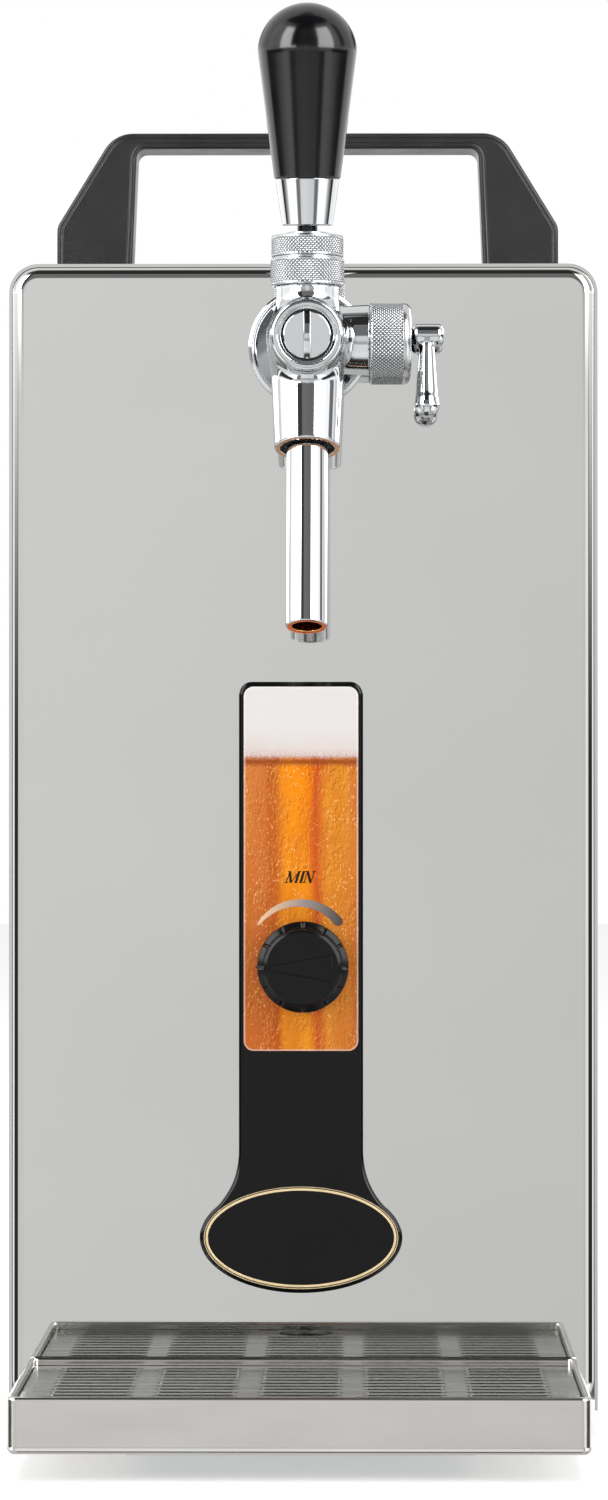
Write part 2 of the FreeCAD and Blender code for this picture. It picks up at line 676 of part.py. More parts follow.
def make_tap_body():
    """Shank and barrel, with the lever's neck above, the compensator's branch at the right and the
    spout's socket below, hollowed for the cone, the piston and the lever."""
    body = new_body("tap_body", BARREL, FORWARD)
    revolve(body, [(0, "-shank_reach"), ("shank_radius", "-shank_reach"), ("shank_radius", 3),
                   ("barrel_radius", 3), ("barrel_radius", "barrel_front - 1"),
                   ("barrel_radius - 1", "barrel_front"), (0, "barrel_front")])
    primitive(body, "AdditiveCylinder", (0, "branch_rise", "branch_reach"), SIDEWAYS, Radius="branch_radius",
              Height="branch_length")
    primitive(body, "AdditiveCylinder", (0, 0, "lever_reach"), Rotation(Vector(1, 0, 0), -90), Radius=9.5,
              Height=NECK_TOP)
    socket = Rotation(Vector(1, 0, 0), 90 - number("spout_lean"))
    primitive(body, "AdditiveCone", (0, 0, "spout_start"), socket, Radius1=11.6, Radius2=9.8,
              Height="spout_mouth")
    revolve(body, [(0, "-shank_reach - 1"), (3.6, "-shank_reach - 1"), (3.6, -36), (6.2, 2),
                   ("barrel_bore", 4), ("barrel_bore", 22.5), (4, 22.5), (4, 24), ("barrel_bore", 24),
                   ("barrel_bore", "barrel_front + 1"), (0, "barrel_front + 1")], kind="Groove")
    primitive(body, "SubtractiveCylinder", (0, "branch_rise", "branch_reach"), SIDEWAYS, Radius=3.58,
              Height="branch_length + 1")
    primitive(body, "SubtractiveCylinder", (0, 0, "lever_reach"), Rotation(Vector(1, 0, 0), -90), Radius=8.4,
              Height=NECK_TOP + 1)
    primitive(body, "SubtractiveCylinder", (0, 0, "spout_start"), socket, Radius=5, Height="spout_mouth")
    for depth, radius in ((SPOUT_SEAT, "spout_tail"), (MOUTH_DEPTH, "mouth_radius")):
        way = f"(spout_mouth - {depth})"
        primitive(body, "SubtractiveCylinder",
                  (0, f"-{way} * cos(spout_lean * 1deg)", f"spout_start + {way} * sin(spout_lean * 1deg)"),
                  socket, Radius=radius, Height=depth + 1)
    return body


def make_front_plug():
    body = new_body("front_plug", BARREL, FORWARD)
    revolve(body, [(0, "barrel_front - 3.5"), (7.7, "barrel_front - 3.5"), (7.7, "barrel_front - 0.4"),
                   (7.1, "barrel_front + 0.2"), (0, "barrel_front + 0.2")])
    slot = new_sketch(body, "XY_Plane", "barrel_front + 0.2")
    rectangle(slot, -0.8, 0.8, -8, 8)
    pocket(body, slot, 1.2)
    return body


def make_plug_seal():
    body = new_body("plug_seal", BARREL, FORWARD)
    revolve(body, [(7.7, "barrel_front - 3.5"), ("barrel_bore", "barrel_front - 3.5"),
                   ("barrel_bore", "barrel_front - 1"), (7.7, "barrel_front - 1")])
    return body


def make_shank_nut():
    body = new_body("shank_nut", ("tap_offset", "panel_y + gauge", "tap_height"),
                    Rotation(Vector(1, 0, 0), -90))
    sketch = new_sketch(body, "XY_Plane")
    hexagon(sketch, 12)
    circle(sketch, 0, 0, "shank_radius")
    pad(body, sketch, 8)
    return body


DOWN_SPOUT = Rotation(Vector(1, 0, 0), 180 - number("spout_lean"))


def make_spout():
    """Tube with a shoulder that stops it at the mouth of the tap body."""
    body = new_body("spout", SPOUT, DOWN_SPOUT)
    seat, shoulder = f"spout_mouth - {SPOUT_SEAT}", "spout_mouth + 0.5"
    revolve(body, [("spout_bore", seat), ("spout_tail", seat), ("spout_tail", shoulder),
                   ("spout_radius", shoulder), ("spout_radius", "spout_end - 0.5"),
                   ("spout_radius - 0.5", "spout_end"), ("spout_bore + 0.5", "spout_end"),
                   ("spout_bore", "spout_end - 0.5")])
    return body


def make_spout_seal():
    body = new_body("spout_seal", SPOUT, DOWN_SPOUT)
    low, high = f"spout_mouth - {MOUTH_DEPTH}", "spout_mouth - 1.2"
    revolve(body, [("spout_tail", low), ("mouth_radius", low), ("mouth_radius", high), ("spout_tail", high)])
    return body


def make_bonnet_nut():
    body = new_body("bonnet_nut", LEVER)
    revolve(body, [(8.4, NECK_TOP), (11, NECK_TOP), (11, NUT_TOP - 0.7), (10, NUT_TOP - 0.7),
                   (10, NUT_TOP), (7.2, NUT_TOP), (7.2, NECK_TOP + 2), (8.4, NECK_TOP + 2)])
    return body


def make_lever_seal():
    body = new_body("lever_seal", LEVER)
    revolve(body, [(4.9, 20.2), (7.2, 20.2), (7.2, 23), (4.9, 23)])
    return body


def make_lock_collar():
    body = new_body("lock_collar", LEVER)
    lip = COLLAR_TOP + 0.85
    revolve(body, [(6, NUT_TOP), (10.75, NUT_TOP), (10.75, COLLAR_TOP - 0.6), (10.15, COLLAR_TOP),
                   (6.5, COLLAR_TOP), (6.5, lip), (5.4, lip), (5.4, COLLAR_TOP), (6, COLLAR_TOP - 0.6)])
    return body


LEAN = Rotation(Vector(1, 0, 0), number("lever_lean"))
ROD_END = 31      # upper end of the rod in the knob, above the lever's ball


def make_lever_stem():
    """Ball in the collar, a rod up into the handle and a rod down into the piston's slot."""
    body = new_body("lever_stem", PIVOT)
    primitive(body, "AdditiveSphere", (0, 0, 0), Radius=5.5)
    primitive(body, "AdditiveCylinder", (0, 0, 0), LEAN, Radius=3, Height=ROD_END)
    primitive(body, "AdditiveCylinder", (0, 0, "-lever_arm"), Radius=2, Height="lever_arm")
    primitive(body, "AdditiveSphere", (0, 0, "-lever_arm"), Radius=2.2)
    return body


def make_ferrule():
    body = new_body("ferrule", PIVOT, LEAN)
    revolve(body, [(3, "ferrule_start"), (7.2, "ferrule_start"), (7.65, "ferrule_start + 0.45"),
                   (9.65, "knob_start"), (3, "knob_start")])
    return body


def make_handle_knob():
    """Straight taper from the ferrule to a round dome."""
    body = new_body("handle_knob", PIVOT, LEAN)
    top = "(knob_start + knob_length)"
    revolve(body, [(3, "knob_start"), (9.95, "knob_start"), ("knob_radius", f"{top} - knob_radius"),
                   (0, top), (0, ROD_END), (3, ROD_END)], arcs=[(2, "-knob_radius")])
    return body


def make_tap_piston():
    """Seal disc behind the seat, thin stem, block with the lever's slot and a guide disc."""
    body = new_body("tap_piston", BARREL, FORWARD)
    revolve(body, [(0, 19), (5.5, 19), (5.5, 22.4), (2.2, 22.4), (2.2, 31.2), (7, 31.2), (7, 40),
                   ("barrel_bore - 0.3", 40), ("barrel_bore - 0.3", 43.5), (0, 43.5)])
    slot = new_sketch(body, "YZ_Plane")
    rectangle(slot, 1.5, 9, "lever_reach - 2.5", "lever_reach + 2.5")
    pocket(body, slot, 5.4, middle=True)
    return body


def make_compensator_cone():
    """Cone in the shank; its tail ring has a groove that the lever's pin shifts."""
    body = new_body("compensator_cone", BARREL, FORWARD)
    revolve(body, [(0, -32), (3, -32), (5.4, 1), (5.4, 3.5), ("barrel_bore - 0.3", 4.5),
                   ("barrel_bore - 0.3", 11.85), (7.3, 11.85), (7.3, 15.85),
                   ("barrel_bore - 0.3", 15.85), ("barrel_bore - 0.3", 18.9), (5.9, 18.9),
                   (5.9, 6.5), (0, 6.5)])
    window = new_sketch(body, "XZ_Plane")
    rectangle(window, -2.5, 2.5, 7, 11)
    pocket(body, window, 20, middle=True)
    return body


def make_compensator_nut():
    body = new_body("compensator_nut", BRANCH, SIDEWAYS)
    rounding, end = 2.2, 31.2
    revolve(body, [(3.6, "branch_length"), (11.15, "branch_length"), (11.15, end - rounding),
                   (11.15 - rounding, end), (3.6, end)], arcs=[(2, -rounding)])
    return body


def make_compensator_lever():
    """Thumb lever whose head stands off the branch's axis, with a shaft through nut and branch and a
    crank pin inside. Local z runs to the right along the head, local x down the arm."""
    forward_lean = 17
    pin_angle = math.radians(35 + forward_lean)
    throw = 1.65
    lean = math.radians(forward_lean)
    head = (BRANCH[0], f"{BRANCH[1]} + {throw * math.sin(lean)}", f"{BRANCH[2]} + {throw * math.cos(lean)}")
    body = new_body("compensator_lever", head, Rotation(Vector(1, 0, 0), -forward_lean).multiply(SIDEWAYS))
    radius, cap, start, end = 3.4, 2.1, 31.4, 39
    cap_radius = (radius ** 2 + cap ** 2) / (2 * cap)
    revolve(body, [(0, start), (radius, start), (radius, end), (0, end + cap)], arcs=[(2, -cap_radius)])
    tail = 8.9
    primitive(body, "AdditiveCylinder", (throw, 0, tail), Radius=3.5, Height=start + 1 - tail)
    primitive(body, "AdditiveCylinder",
              (throw + 2 * math.cos(pin_angle), 2 * math.sin(pin_angle), tail - 1.3), Radius=1, Height=1.6)
    arm = 35.9
    primitive(body, "AdditiveCone", (0, 0, arm), SIDEWAYS, Radius1=2.0, Radius2=3.5, Height=throw + 20.3)
    primitive(body, "AdditiveSphere", (throw + 21, 0, arm), Radius=3.75)
    return body


# ---------------------------------------------------------------------------------------------
# Drip tray
# ---------------------------------------------------------------------------------------------

TRAY = (0, "panel_y - tray_gap - tray_depth / 2", "foot_height")


def make_drip_tray():
    body = new_body("drip_tray", TRAY)
    sketch = new_sketch(body, "XY_Plane")
    rectangle(sketch, "-tray_width / 2", "tray_width / 2", "-tray_depth / 2", "tray_depth / 2")
    pad(body, sketch, "tray_height")
    dress(body, "Fillet", 3, lambda edge, at: runs_along(edge, Z_WAY))
    dress(body, "Fillet", 2.5, lambda edge, at: at.z < 0.01)
    top = number("tray_height")
    shell(body, "gauge", lambda at: at.z > top - 0.01)
    rim = new_sketch(body, "XY_Plane", "tray_height - rim_height")
    rectangle(rim, "-tray_width / 2 + 0.5", "tray_width / 2 - 0.5", "-tray_depth / 2 + 0.5",
              "tray_depth / 2 - 0.5")
    rectangle(rim, "-tray_width / 2 + rim_width", "tray_width / 2 - rim_width",
              "-tray_depth / 2 + rim_width", "tray_depth / 2 - rim_width")
    pad(body, rim, "rim_height - 0.3")
    return body


def make_drip_grid():
    """Perforated plate on two folded legs, with a finger hole near its front edge."""
    gap = 0.3
    half = f"(tray_width / 2 - rim_width - {gap})"
    reach = f"(tray_depth / 2 - rim_width - {gap})"
    body = new_body("drip_grid", TRAY)
    legs = new_sketch(body, "XZ_Plane")
    top = "(tray_height - rim_height)"
    foot = f"(gauge + {gap})"
    outline(legs, [(f"-{half}", foot), (f"-{half}", top), (half, top), (half, foot),
                   (f"{half} - gauge", foot), (f"{half} - gauge", f"{top} - gauge"),
                   (f"-{half} + gauge", f"{top} - gauge"), (f"-{half} + gauge", foot)])
    pad(body, legs, f"2 * {reach}", middle=True)
    slot = new_sketch(body, "XY_Plane", top)
    last_row = "(-5.5 * row_pitch)"
    grid_slot(slot, "-2 * slot_pitch", f"{last_row} + 2 * row_pitch")
    cut = pocket(body, slot, "2 * gauge")
    repeat(body, [cut], ("X_Axis", 5, "4 * slot_pitch"), ("Y_Axis", 10, "9 * row_pitch"))
    front = new_sketch(body, "XY_Plane", top)
    grid_slot(front, "-2 * slot_pitch", last_row)
    cut = pocket(body, front, "2 * gauge")
    repeat(body, [cut], ("X_Axis", 2, "slot_pitch"), ("Y_Axis", 2, "row_pitch"), ("mirror", "YZ_Plane"))
    hole = new_sketch(body, "XY_Plane", top)
    circle(hole, 0, f"{last_row} + 0.5 * row_pitch - 1", 9)
    pocket(body, hole, "2 * gauge")
    return body


def grid_slot(sketch, x, y):
    """One slot with round ends."""
    low, high = f"{x} - slot_length / 2 + slot_width / 2", f"{x} + slot_length / 2 - slot_width / 2"
    outline(sketch, [(low, f"{y} - slot_width / 2"), (high, f"{y} - slot_width / 2"),
                     (high, f"{y} + slot_width / 2"), (low, f"{y} + slot_width / 2")],
            arcs=[(1, "-slot_width / 2"), (3, "-slot_width / 2")])


def make_tray_support():
    """Flat bracket under the tray, stepped up to the underside of the base plate."""
    body = new_body("tray_support", (0, "panel_y", 0))
    sketch = new_sketch(body, "YZ_Plane")
    plate = 1.5
    low, high = f"foot_height - {plate}", f"{FLOOR_Z} - {plate}"
    outline(sketch, [(-95, low), (18, low), (20, high), (60, high), (60, FLOOR_Z), (19.4, FLOOR_Z),
                     (17.4, "foot_height"), (-95, "foot_height")])
    pad(body, sketch, 100, middle=True)
    return body


# ---------------------------------------------------------------------------------------------
# Cooling
# ---------------------------------------------------------------------------------------------

BLOCK_Z = 268
BLOCK = (0, -45, BLOCK_Z)
COMPRESSOR = (0, 76, "foot_height + 16")
GROMMET_NECK = 5


def make_cooling_block():
    """Cast aluminium block around the beer and refrigerant coils."""
    body = new_body("cooling_block", BLOCK)
    sketch = new_sketch(body, "XY_Plane")
    rectangle(sketch, "-block_width / 2", "block_width / 2", "-block_depth / 2", "block_depth / 2")
    pad(body, sketch, "block_height", middle=True)
    dress(body, "Fillet", 6, lambda edge, at: runs_along(edge, Z_WAY))
    bore = new_sketch(body, "XZ_Plane", "block_depth / 2")
    circle(bore, "tap_offset", f"tap_height - {BLOCK_Z}", "shank_radius")
    pocket(body, bore, 16)
    return body


def make_insulation():
    """Foam jacket around the block, with a hole for the tap's shank."""
    body = new_body("insulation", BLOCK)
    half_width, half_depth = "(block_width / 2 + jacket_side)", "(block_depth / 2 + jacket_front)"
    sketch = new_sketch(body, "XY_Plane")
    rectangle(sketch, f"-{half_width}", half_width, f"-{half_depth}", half_depth)
    pad(body, sketch, "block_height + 2 * jacket_end", middle=True)
    core = new_sketch(body, "XY_Plane", "block_height / 2")
    rectangle(core, "-block_width / 2", "block_width / 2", "-block_depth / 2", "block_depth / 2")
    pocket(body, core, "block_height")
    shank = new_sketch(body, "XZ_Plane", half_depth)
    circle(shank, "tap_offset", f"tap_height - {BLOCK_Z}", "shank_radius + 0.6")
    pocket(body, shank, "jacket_front")
    return body


def make_compressor():
    """Hermetic compressor: welded shell on a foot plate."""
    body = new_body("compressor", COMPRESSOR)
    revolve(body, [(0, 0), (40, 0), (48, 10), (48, 92), (38, 108), (0, 112)], arcs=[(3, -24)])
    plate = new_sketch(body, "XY_Plane", -2)
    width, reach = "(mount_span / 2 + 8)", "(mount_reach / 2 + 8)"
    rectangle(plate, f"-{width}", width, f"-{reach}", reach)
    pad(body, plate, 3)
    holes = new_sketch(body, "XY_Plane", 1)
    for across in (-1, 1):
        for along in (-1, 1):
            circle(holes, f"{across} * mount_span / 2", f"{along} * mount_reach / 2", GROMMET_NECK)
    pocket(body, holes, 4)
    return body


def make_compressor_mounts():
    """Rubber grommets under the foot plate."""
    body = new_body("compressor_mounts", ("-mount_span / 2", f"{COMPRESSOR[1]} - mount_reach / 2",
                                          f"{FLOOR_Z} + floor_gauge"))
    seat = f"({COMPRESSOR[2]} - 2 - {FLOOR_Z} - floor_gauge)"
    mount = revolve(body, [(0, 0), (9, 0), (9, seat), (GROMMET_NECK, seat), (GROMMET_NECK, f"{seat} + 3"),
                           (8, f"{seat} + 3"), (8, f"{seat} + 6"), (0, f"{seat} + 6")])
    repeat(body, [mount], ("X_Axis", 2, "mount_span"), ("Y_Axis", 2, "mount_reach"))
    return body


def make_condenser():
    """Finned coil between the compressor and the fan."""
    body = new_body("condenser", (0, 148, "fan_height"))
    ends = new_sketch(body, "XZ_Plane")
    rectangle(ends, "-condenser_width / 2", "condenser_width / 2", "-condenser_height / 2",
              "condenser_height / 2")
    pad(body, ends, 3, middle=True)
    fin = new_sketch(body, "YZ_Plane", "2 - condenser_width / 2")
    rectangle(fin, -12, 12, "4 - condenser_height / 2", "condenser_height / 2 - 4")
    blade = pad(body, fin, 0.8)
    repeat(body, [blade], ("X_Axis", 25, "condenser_width - 5"))
    return body


def make_fan_frame():
    body = new_body("fan_frame", (0, f"{BACK_Y} - gauge", "fan_height"), FORWARD)
    square = new_sketch(body, "XY_Plane")
    rectangle(square, "-fan_size / 2", "fan_size / 2", "-fan_size / 2", "fan_size / 2")
    pad(body, square, "fan_thick")
    dress(body, "Fillet", 6, lambda edge, at: runs_along(edge, Z_WAY))
    duct = new_sketch(body, "XY_Plane", "fan_thick")
    circle(duct, 0, 0, "fan_size / 2 - 3")
    pocket(body, duct, "fan_thick")
    spoke, thick, reach = 3, 4, "(fan_size / 2 - 1)"
    for half_width, half_height in ((reach, spoke), (spoke, reach)):
        bar = new_sketch(body, "XY_Plane")
        rectangle(bar, f"-{half_width}", half_width, f"-{half_height}", half_height)
        pad(body, bar, thick)
    primitive(body, "AdditiveCylinder", (0, 0, 0), Radius=20, Height=thick)
    primitive(body, "AdditiveCylinder", (0, 0, 0), Radius=2, Height=20)
    return body


def make_fan_rotor():
    """Hub with seven pitched blades, turning on the frame's pin."""
    body = new_body("fan_rotor", (0, f"{BACK_Y} - gauge", "fan_height"), FORWARD)
    revolve(body, [(2.08, 5), (19, 5), (19, 21), (17, 23), (0, 23), (0, 20.3), (2.08, 20.3)])
    blade = primitive(body, "AdditiveBox", (17, -1, 7.5), Rotation(Vector(1, 0, 0), 38), Length=38, Width=19,
                      Height=1.4)
    turn_copies(body, [blade], 7)
    return body


def make_fan_guard():
    """Wire guard: rings on a cross of two wires."""
    wire = 0.9
    stand = 5
    pieces = []
    for radius in (14, 26, 38, 50, 60):
        ring = doc.addObject("Part::Torus", "GuardRing")
        ring.Radius1 = radius
        ring.Radius2 = wire
        ring.Placement = Placement(Vector(0, 0, stand), Rotation())
        pieces.append(ring)
    for turn in (45, 135):
        bar = doc.addObject("Part::Cylinder", "GuardBar")
        bar.Radius = wire
        bar.Height = 124
        way = Rotation(Vector(0, 0, 1), turn).multiply(SIDEWAYS)
        bar.Placement = Placement(way.multVec(Vector(0, 0, -62)) + Vector(0, 0, stand - 1.2), way)
        pieces.append(bar)
        for end in (-1, 1):
            foot = doc.addObject("Part::Cylinder", "GuardFoot")
            foot.Radius = 4
            foot.Height = stand
            spot = way.multVec(Vector(0, 0, end * 66))
            foot.Placement = Placement(Vector(spot.x, spot.y, 0), Rotation())
            pieces.append(foot)
    guard = doc.addObject("Part::MultiFuse", "fan_guard")
    guard.Shapes = pieces
    guard.Label = "fan_guard"
    place(guard, (0, BACK_Y, "fan_height"), Rotation(Vector(1, 0, 0), -90))
    return guard


def make_filter_drier():
    body = new_body("filter_drier", (70, 60, 170))
    revolve(body, [(0, 0), (3, 0), (3, 8), (9, 14), (9, 82), (3, 88), (3, 96), (0, 96)])
    return body


def tube_path(points, bend):
    """Straight runs joined by tangent arcs."""
    edges = []
    start = points[0]
    for before, corner, after in zip(points, points[1:], points[2:]):
        into = (before - corner).normalize()
        out = (after - corner).normalize()
        half = into.getAngle(out) / 2
        reach = bend / math.tan(half)
        low, high = corner + into * reach, corner + out * reach
        middle = corner + (into + out).normalize() * (bend / math.sin(half) - bend)
        edges.append(Part.LineSegment(start, low).toShape())
        edges.append(Part.Arc(low, middle, high).toShape())
        start = high
    edges.append(Part.LineSegment(start, points[-1]).toShape())
    return Part.Wire(edges)


def swept_tube(points, radius, bend):
    wire = tube_path([Vector(*point) for point in points], bend)
    first = wire.Edges[0]
    way = (first.valueAt(first.LastParameter) - first.valueAt(first.FirstParameter)).normalize()
    profile = Part.Wire(Part.Circle(Vector(*points[0]), way, radius).toShape())
    return wire.makePipeShell([profile], True, False)


def make_lines(label, routes, radius, bend):
    """A node of one or more bent tubes."""
    lines = doc.addObject("Part::Feature", label)
    lines.Label = label
    solids = [swept_tube(route, radius, bend) for route in routes]
    lines.Shape = solids[0] if len(solids) == 1 else Part.makeCompound(solids)
    lines.Placement = Placement()
    return lines


def make_refrigerant_lines():
    """Discharge line to the condenser, liquid line to the drier and suction line back."""
    discharge = [(20, 76, 136), (20, 76, 152), (20, 118, 152), (48, 118, 152), (48, 118, 180),
                 (48, 134.5, 180)]
    liquid = [(64, 148, 300), (78, 148, 300), (78, 148, 320), (78, 108, 320), (70, 60, 320), (70, 60, 266)]
    capillary = [(70, 60, 170), (70, 60, 160), (70, 24, 160), (40, 24, 160), (40, 24, 200), (40, 1, 200)]
    suction = [(-20, 76, 136), (-20, 76, 158), (-20, 40, 158), (-40, 24, 158), (-40, 24, 220), (-40, 1, 220)]
    return make_lines("refrigerant_lines", [discharge, liquid, capillary, suction], 3, 5)


def make_beer_line():
    """From the inlet fitting to the cooling block."""
    back = number(BACK_Y)
    route = [(PORT_X, back - 18, BEER_Z), (PORT_X, back - 40, BEER_Z), (PORT_X, 100, 146),
             (60, 60, 152), (0, 30, 170), (0, 24, 240), (0, 1, 240)]
    return make_lines("beer_line", [route], 4, 9)


# ---------------------------------------------------------------------------------------------
# Air pump, rear fittings and switches
# ---------------------------------------------------------------------------------------------

def make_air_pump():
    """Small diaphragm pump: motor, head and outlet stub on a bracket."""
    body = new_body("air_pump", (0, -62, f"{FLOOR_Z} + floor_gauge"))
    bracket = new_sketch(body, "XY_Plane")
    rectangle(bracket, -38, 38, -22, 22)
    pad(body, bracket, 3)
    head = new_sketch(body, "XY_Plane", 3)
    rectangle(head, 4, 36, -20, 20)
    pad(body, head, 42)
    primitive(body, "AdditiveCylinder", (-36, 0, 22), SIDEWAYS, Radius=18, Height=42)
    primitive(body, "AdditiveCylinder", (20, 19, 34), Rotation(Vector(1, 0, 0), -90), Radius=3, Height=11)
    return body


def make_air_hose():
    back = number(BACK_Y)
    level = number(f"{FLOOR_Z} + floor_gauge") + 34
    route = [(20, -32, level), (20, -4, level), (76, 0, 62), (80, 60, 80), (72, 120, GAS_Z),
             (PORT_X, 150, GAS_Z), (PORT_X, back - 14, GAS_Z)]
    return make_lines("air_hose", [route], 3, 7)


def make_fitting(label, height, bore, body_radius):
    """Push-fit bulkhead fitting: threaded tail inside, hexagon and round mouth outside."""
    body = new_body(label, (PORT_X, BACK_Y, height), Rotation(Vector(1, 0, 0), -90))
    tail = body_radius - 2
    revolve(body, [(bore - 1.2, -18 if bore > 4.5 else -14), (tail, -18 if bore > 4.5 else -14), (tail, 0),
                   (body_radius + 1.6, 0), (body_radius + 1.6, 5), (body_radius, 5), (body_radius, 17.4),
                   (body_radius - 0.8, 18.2), (bore + 1.5, 18.2), (bore + 1.5, 8), (bore, 8),
                   (bore, 2), (bore - 1.2, 2)])
    return body


def make_collet(label, height, bore):
    """Release collar that the hose passes through: pressing it in frees the hose."""
    body = new_body(label, (PORT_X, BACK_Y, height), Rotation(Vector(1, 0, 0), -90))
    revolve(body, [(bore, 10.5), (bore + 1.42, 10.5), (bore + 1.42, 20), (bore + 2.6, 20),
                   (bore + 2.6, "port_reach"), (bore, "port_reach")])
    return body


def make_mains_inlet():
    """Appliance inlet with its flange, socket and three pins."""
    body = new_body("mains_inlet", (INLET_X, BACK_Y, INLET_Z), Rotation(Vector(1, 0, 0), -90))
    flange = new_sketch(body, "XY_Plane")
    rectangle(flange, -19, 19, -13.5, 13.5)
    pad(body, flange, 2.5)
    dress(body, "Fillet", 4, lambda edge, at: runs_along(edge, Z_WAY))
    case = new_sketch(body, "XY_Plane")
    rectangle(case, -13.8, 13.8, -10.2, 10.2)
    pad(body, case, 22, back=True)
    socket = new_sketch(body, "XY_Plane", 2.5)
    outline(socket, [(-12, 8), (-12, -4), (-8, -8), (8, -8), (12, -4), (12, 8)])
    pocket(body, socket, 17)
    for x, y in ((-6, -1.5), (0, 2.5), (6, -1.5)):
        pin = new_sketch(body, "XY_Plane", -15)
        rectangle(pin, x - 1, x + 1, y - 2, y + 2)
        pad(body, pin, 13)
    return body


ROCKER_DEPTH = 0.5      # rocker pin before the rear panel's back face


def make_switch(label, x):
    """Rocker switch body: a frame around the rocker's well."""
    body = new_body(label, (x, BACK_Y, INLET_Z), Rotation(Vector(1, 0, 0), -90))
    frame = new_sketch(body, "XY_Plane")
    rectangle(frame, -7.5, 7.5, -10.5, 10.5)
    pad(body, frame, 2)
    case = new_sketch(body, "XY_Plane")
    rectangle(case, -6.3, 6.3, -9.3, 9.3)
    pad(body, case, 20, back=True)
    well = new_sketch(body, "XY_Plane", 2)
    rectangle(well, -5, 5, -8.5, 8.5)
    pocket(body, well, 8)
    primitive(body, "SubtractiveCylinder", (-6, 0, -ROCKER_DEPTH), SIDEWAYS, Radius=1.25, Height=12)
    return body


def make_rocker(label, x):
    """Rocker on a cross pin, standing with its upper half pressed in."""
    body = new_body(label, (x, f"{BACK_Y} - {ROCKER_DEPTH}", INLET_Z), Rotation(Vector(1, 0, 0), -90))
    side = new_sketch(body, "YZ_Plane")
    outline(side, [(-7, 4.4), (0, 1.9), (7.3, 1.9), (7, -0.6), (2.2, -2.6), (-2.2, -2.6), (-7, -0.4)])
    pad(body, side, 9.2, middle=True)
    primitive(body, "AdditiveCylinder", (-5.8, 0, 0), SIDEWAYS, Radius=1.1, Height=11.6)
    return body


# ---------------------------------------------------------------------------------------------
# Build, check and write
# ---------------------------------------------------------------------------------------------

PIECES = [
    make_outer_cover(), make_front_panel(), make_rear_panel(), make_base_plate(), make_feet(),
    make_case_screws(), make_carry_handle(), make_handle_screws(),
    make_label_plate(), make_window_print(),
    make_thermostat(), make_thermostat_nut(), make_thermostat_shaft(), make_thermostat_knob(),
    make_rosette(), make_tap_body(), make_front_plug(), make_plug_seal(), make_shank_nut(),
    make_spout(), make_spout_seal(), make_bonnet_nut(), make_lever_seal(), make_lock_collar(),
    make_lever_stem(), make_ferrule(), make_handle_knob(), make_tap_piston(),
    make_compensator_cone(), make_compensator_nut(), make_compensator_lever(),
    make_drip_tray(), make_drip_grid(), make_tray_support(),
    make_cooling_block(), make_insulation(), make_compressor(), make_compressor_mounts(),
    make_condenser(), make_fan_frame(), make_fan_rotor(), make_fan_guard(), make_filter_drier(),
    make_refrigerant_lines(), make_beer_line(), make_air_pump(), make_air_hose(),
    make_fitting("beer_inlet", BEER_Z, number("port_radius"), 8.5),
    make_collet("beer_collet", BEER_Z, number("port_radius")),
    make_fitting("air_outlet", GAS_Z, number("gas_radius"), 7.5),
    make_collet("air_collet", GAS_Z, number("gas_radius")),
    make_mains_inlet(),
    make_switch("power_switch", SWITCH_X[0]), make_rocker("power_rocker", SWITCH_X[0]),
    make_switch("pump_switch", SWITCH_X[1]), make_rocker("pump_rocker", SWITCH_X[1]),
]
doc.recompute()

for item in doc.Objects:
    if "Invalid" in item.State or "Error" in item.State:
        raise RuntimeError(f"{item.Label} is {item.State}")
for piece in PIECES:
    if piece.Shape.isNull() or not piece.Shape.isValid():
        raise RuntimeError(f"{piece.Label} has no valid shape")

os.makedirs("parts", exist_ok=True)
for piece in PIECES:
    piece.Shape.exportStep(f"parts/{piece.Label}.step")
    box = piece.Shape.BoundBox
    print(f"{piece.Label:20s} {len(piece.Shape.Solids)} solids {piece.Shape.Volume:10.0f} mm3 "
          f"x {box.XMin:7.1f} {box.XMax:7.1f} y {box.YMin:7.1f} {box.YMax:7.1f} "
          f"z {box.ZMin:7.1f} {box.ZMax:7.1f}")
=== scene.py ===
import math

import bpy
import numpy as np
from mathutils import Matrix, Vector


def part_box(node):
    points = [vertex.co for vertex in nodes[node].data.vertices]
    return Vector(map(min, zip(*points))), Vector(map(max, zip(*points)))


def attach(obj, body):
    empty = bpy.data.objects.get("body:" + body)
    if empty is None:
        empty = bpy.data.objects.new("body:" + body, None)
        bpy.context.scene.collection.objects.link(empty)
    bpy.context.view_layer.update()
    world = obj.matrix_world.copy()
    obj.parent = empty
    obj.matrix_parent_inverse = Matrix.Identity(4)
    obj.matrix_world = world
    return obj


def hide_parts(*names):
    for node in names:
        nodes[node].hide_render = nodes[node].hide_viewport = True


# Looks of a counter-top beer dispenser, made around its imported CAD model.
# Sizes are in millimetres and are turned to metres when a mesh is made.
# Each piece has a dictionary of settings beside its code; the function that makes it calls them s.

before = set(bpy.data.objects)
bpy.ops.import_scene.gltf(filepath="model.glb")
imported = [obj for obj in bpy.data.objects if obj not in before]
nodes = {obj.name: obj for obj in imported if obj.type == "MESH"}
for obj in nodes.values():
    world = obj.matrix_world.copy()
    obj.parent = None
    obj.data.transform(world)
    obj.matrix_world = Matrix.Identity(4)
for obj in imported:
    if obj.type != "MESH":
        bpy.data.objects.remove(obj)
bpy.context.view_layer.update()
print("frame loaded:", len(nodes), "nodes")


# places read from the frame, in millimetres

def nodeBox(name):
    low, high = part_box(name)
    return low * 1000, high * 1000


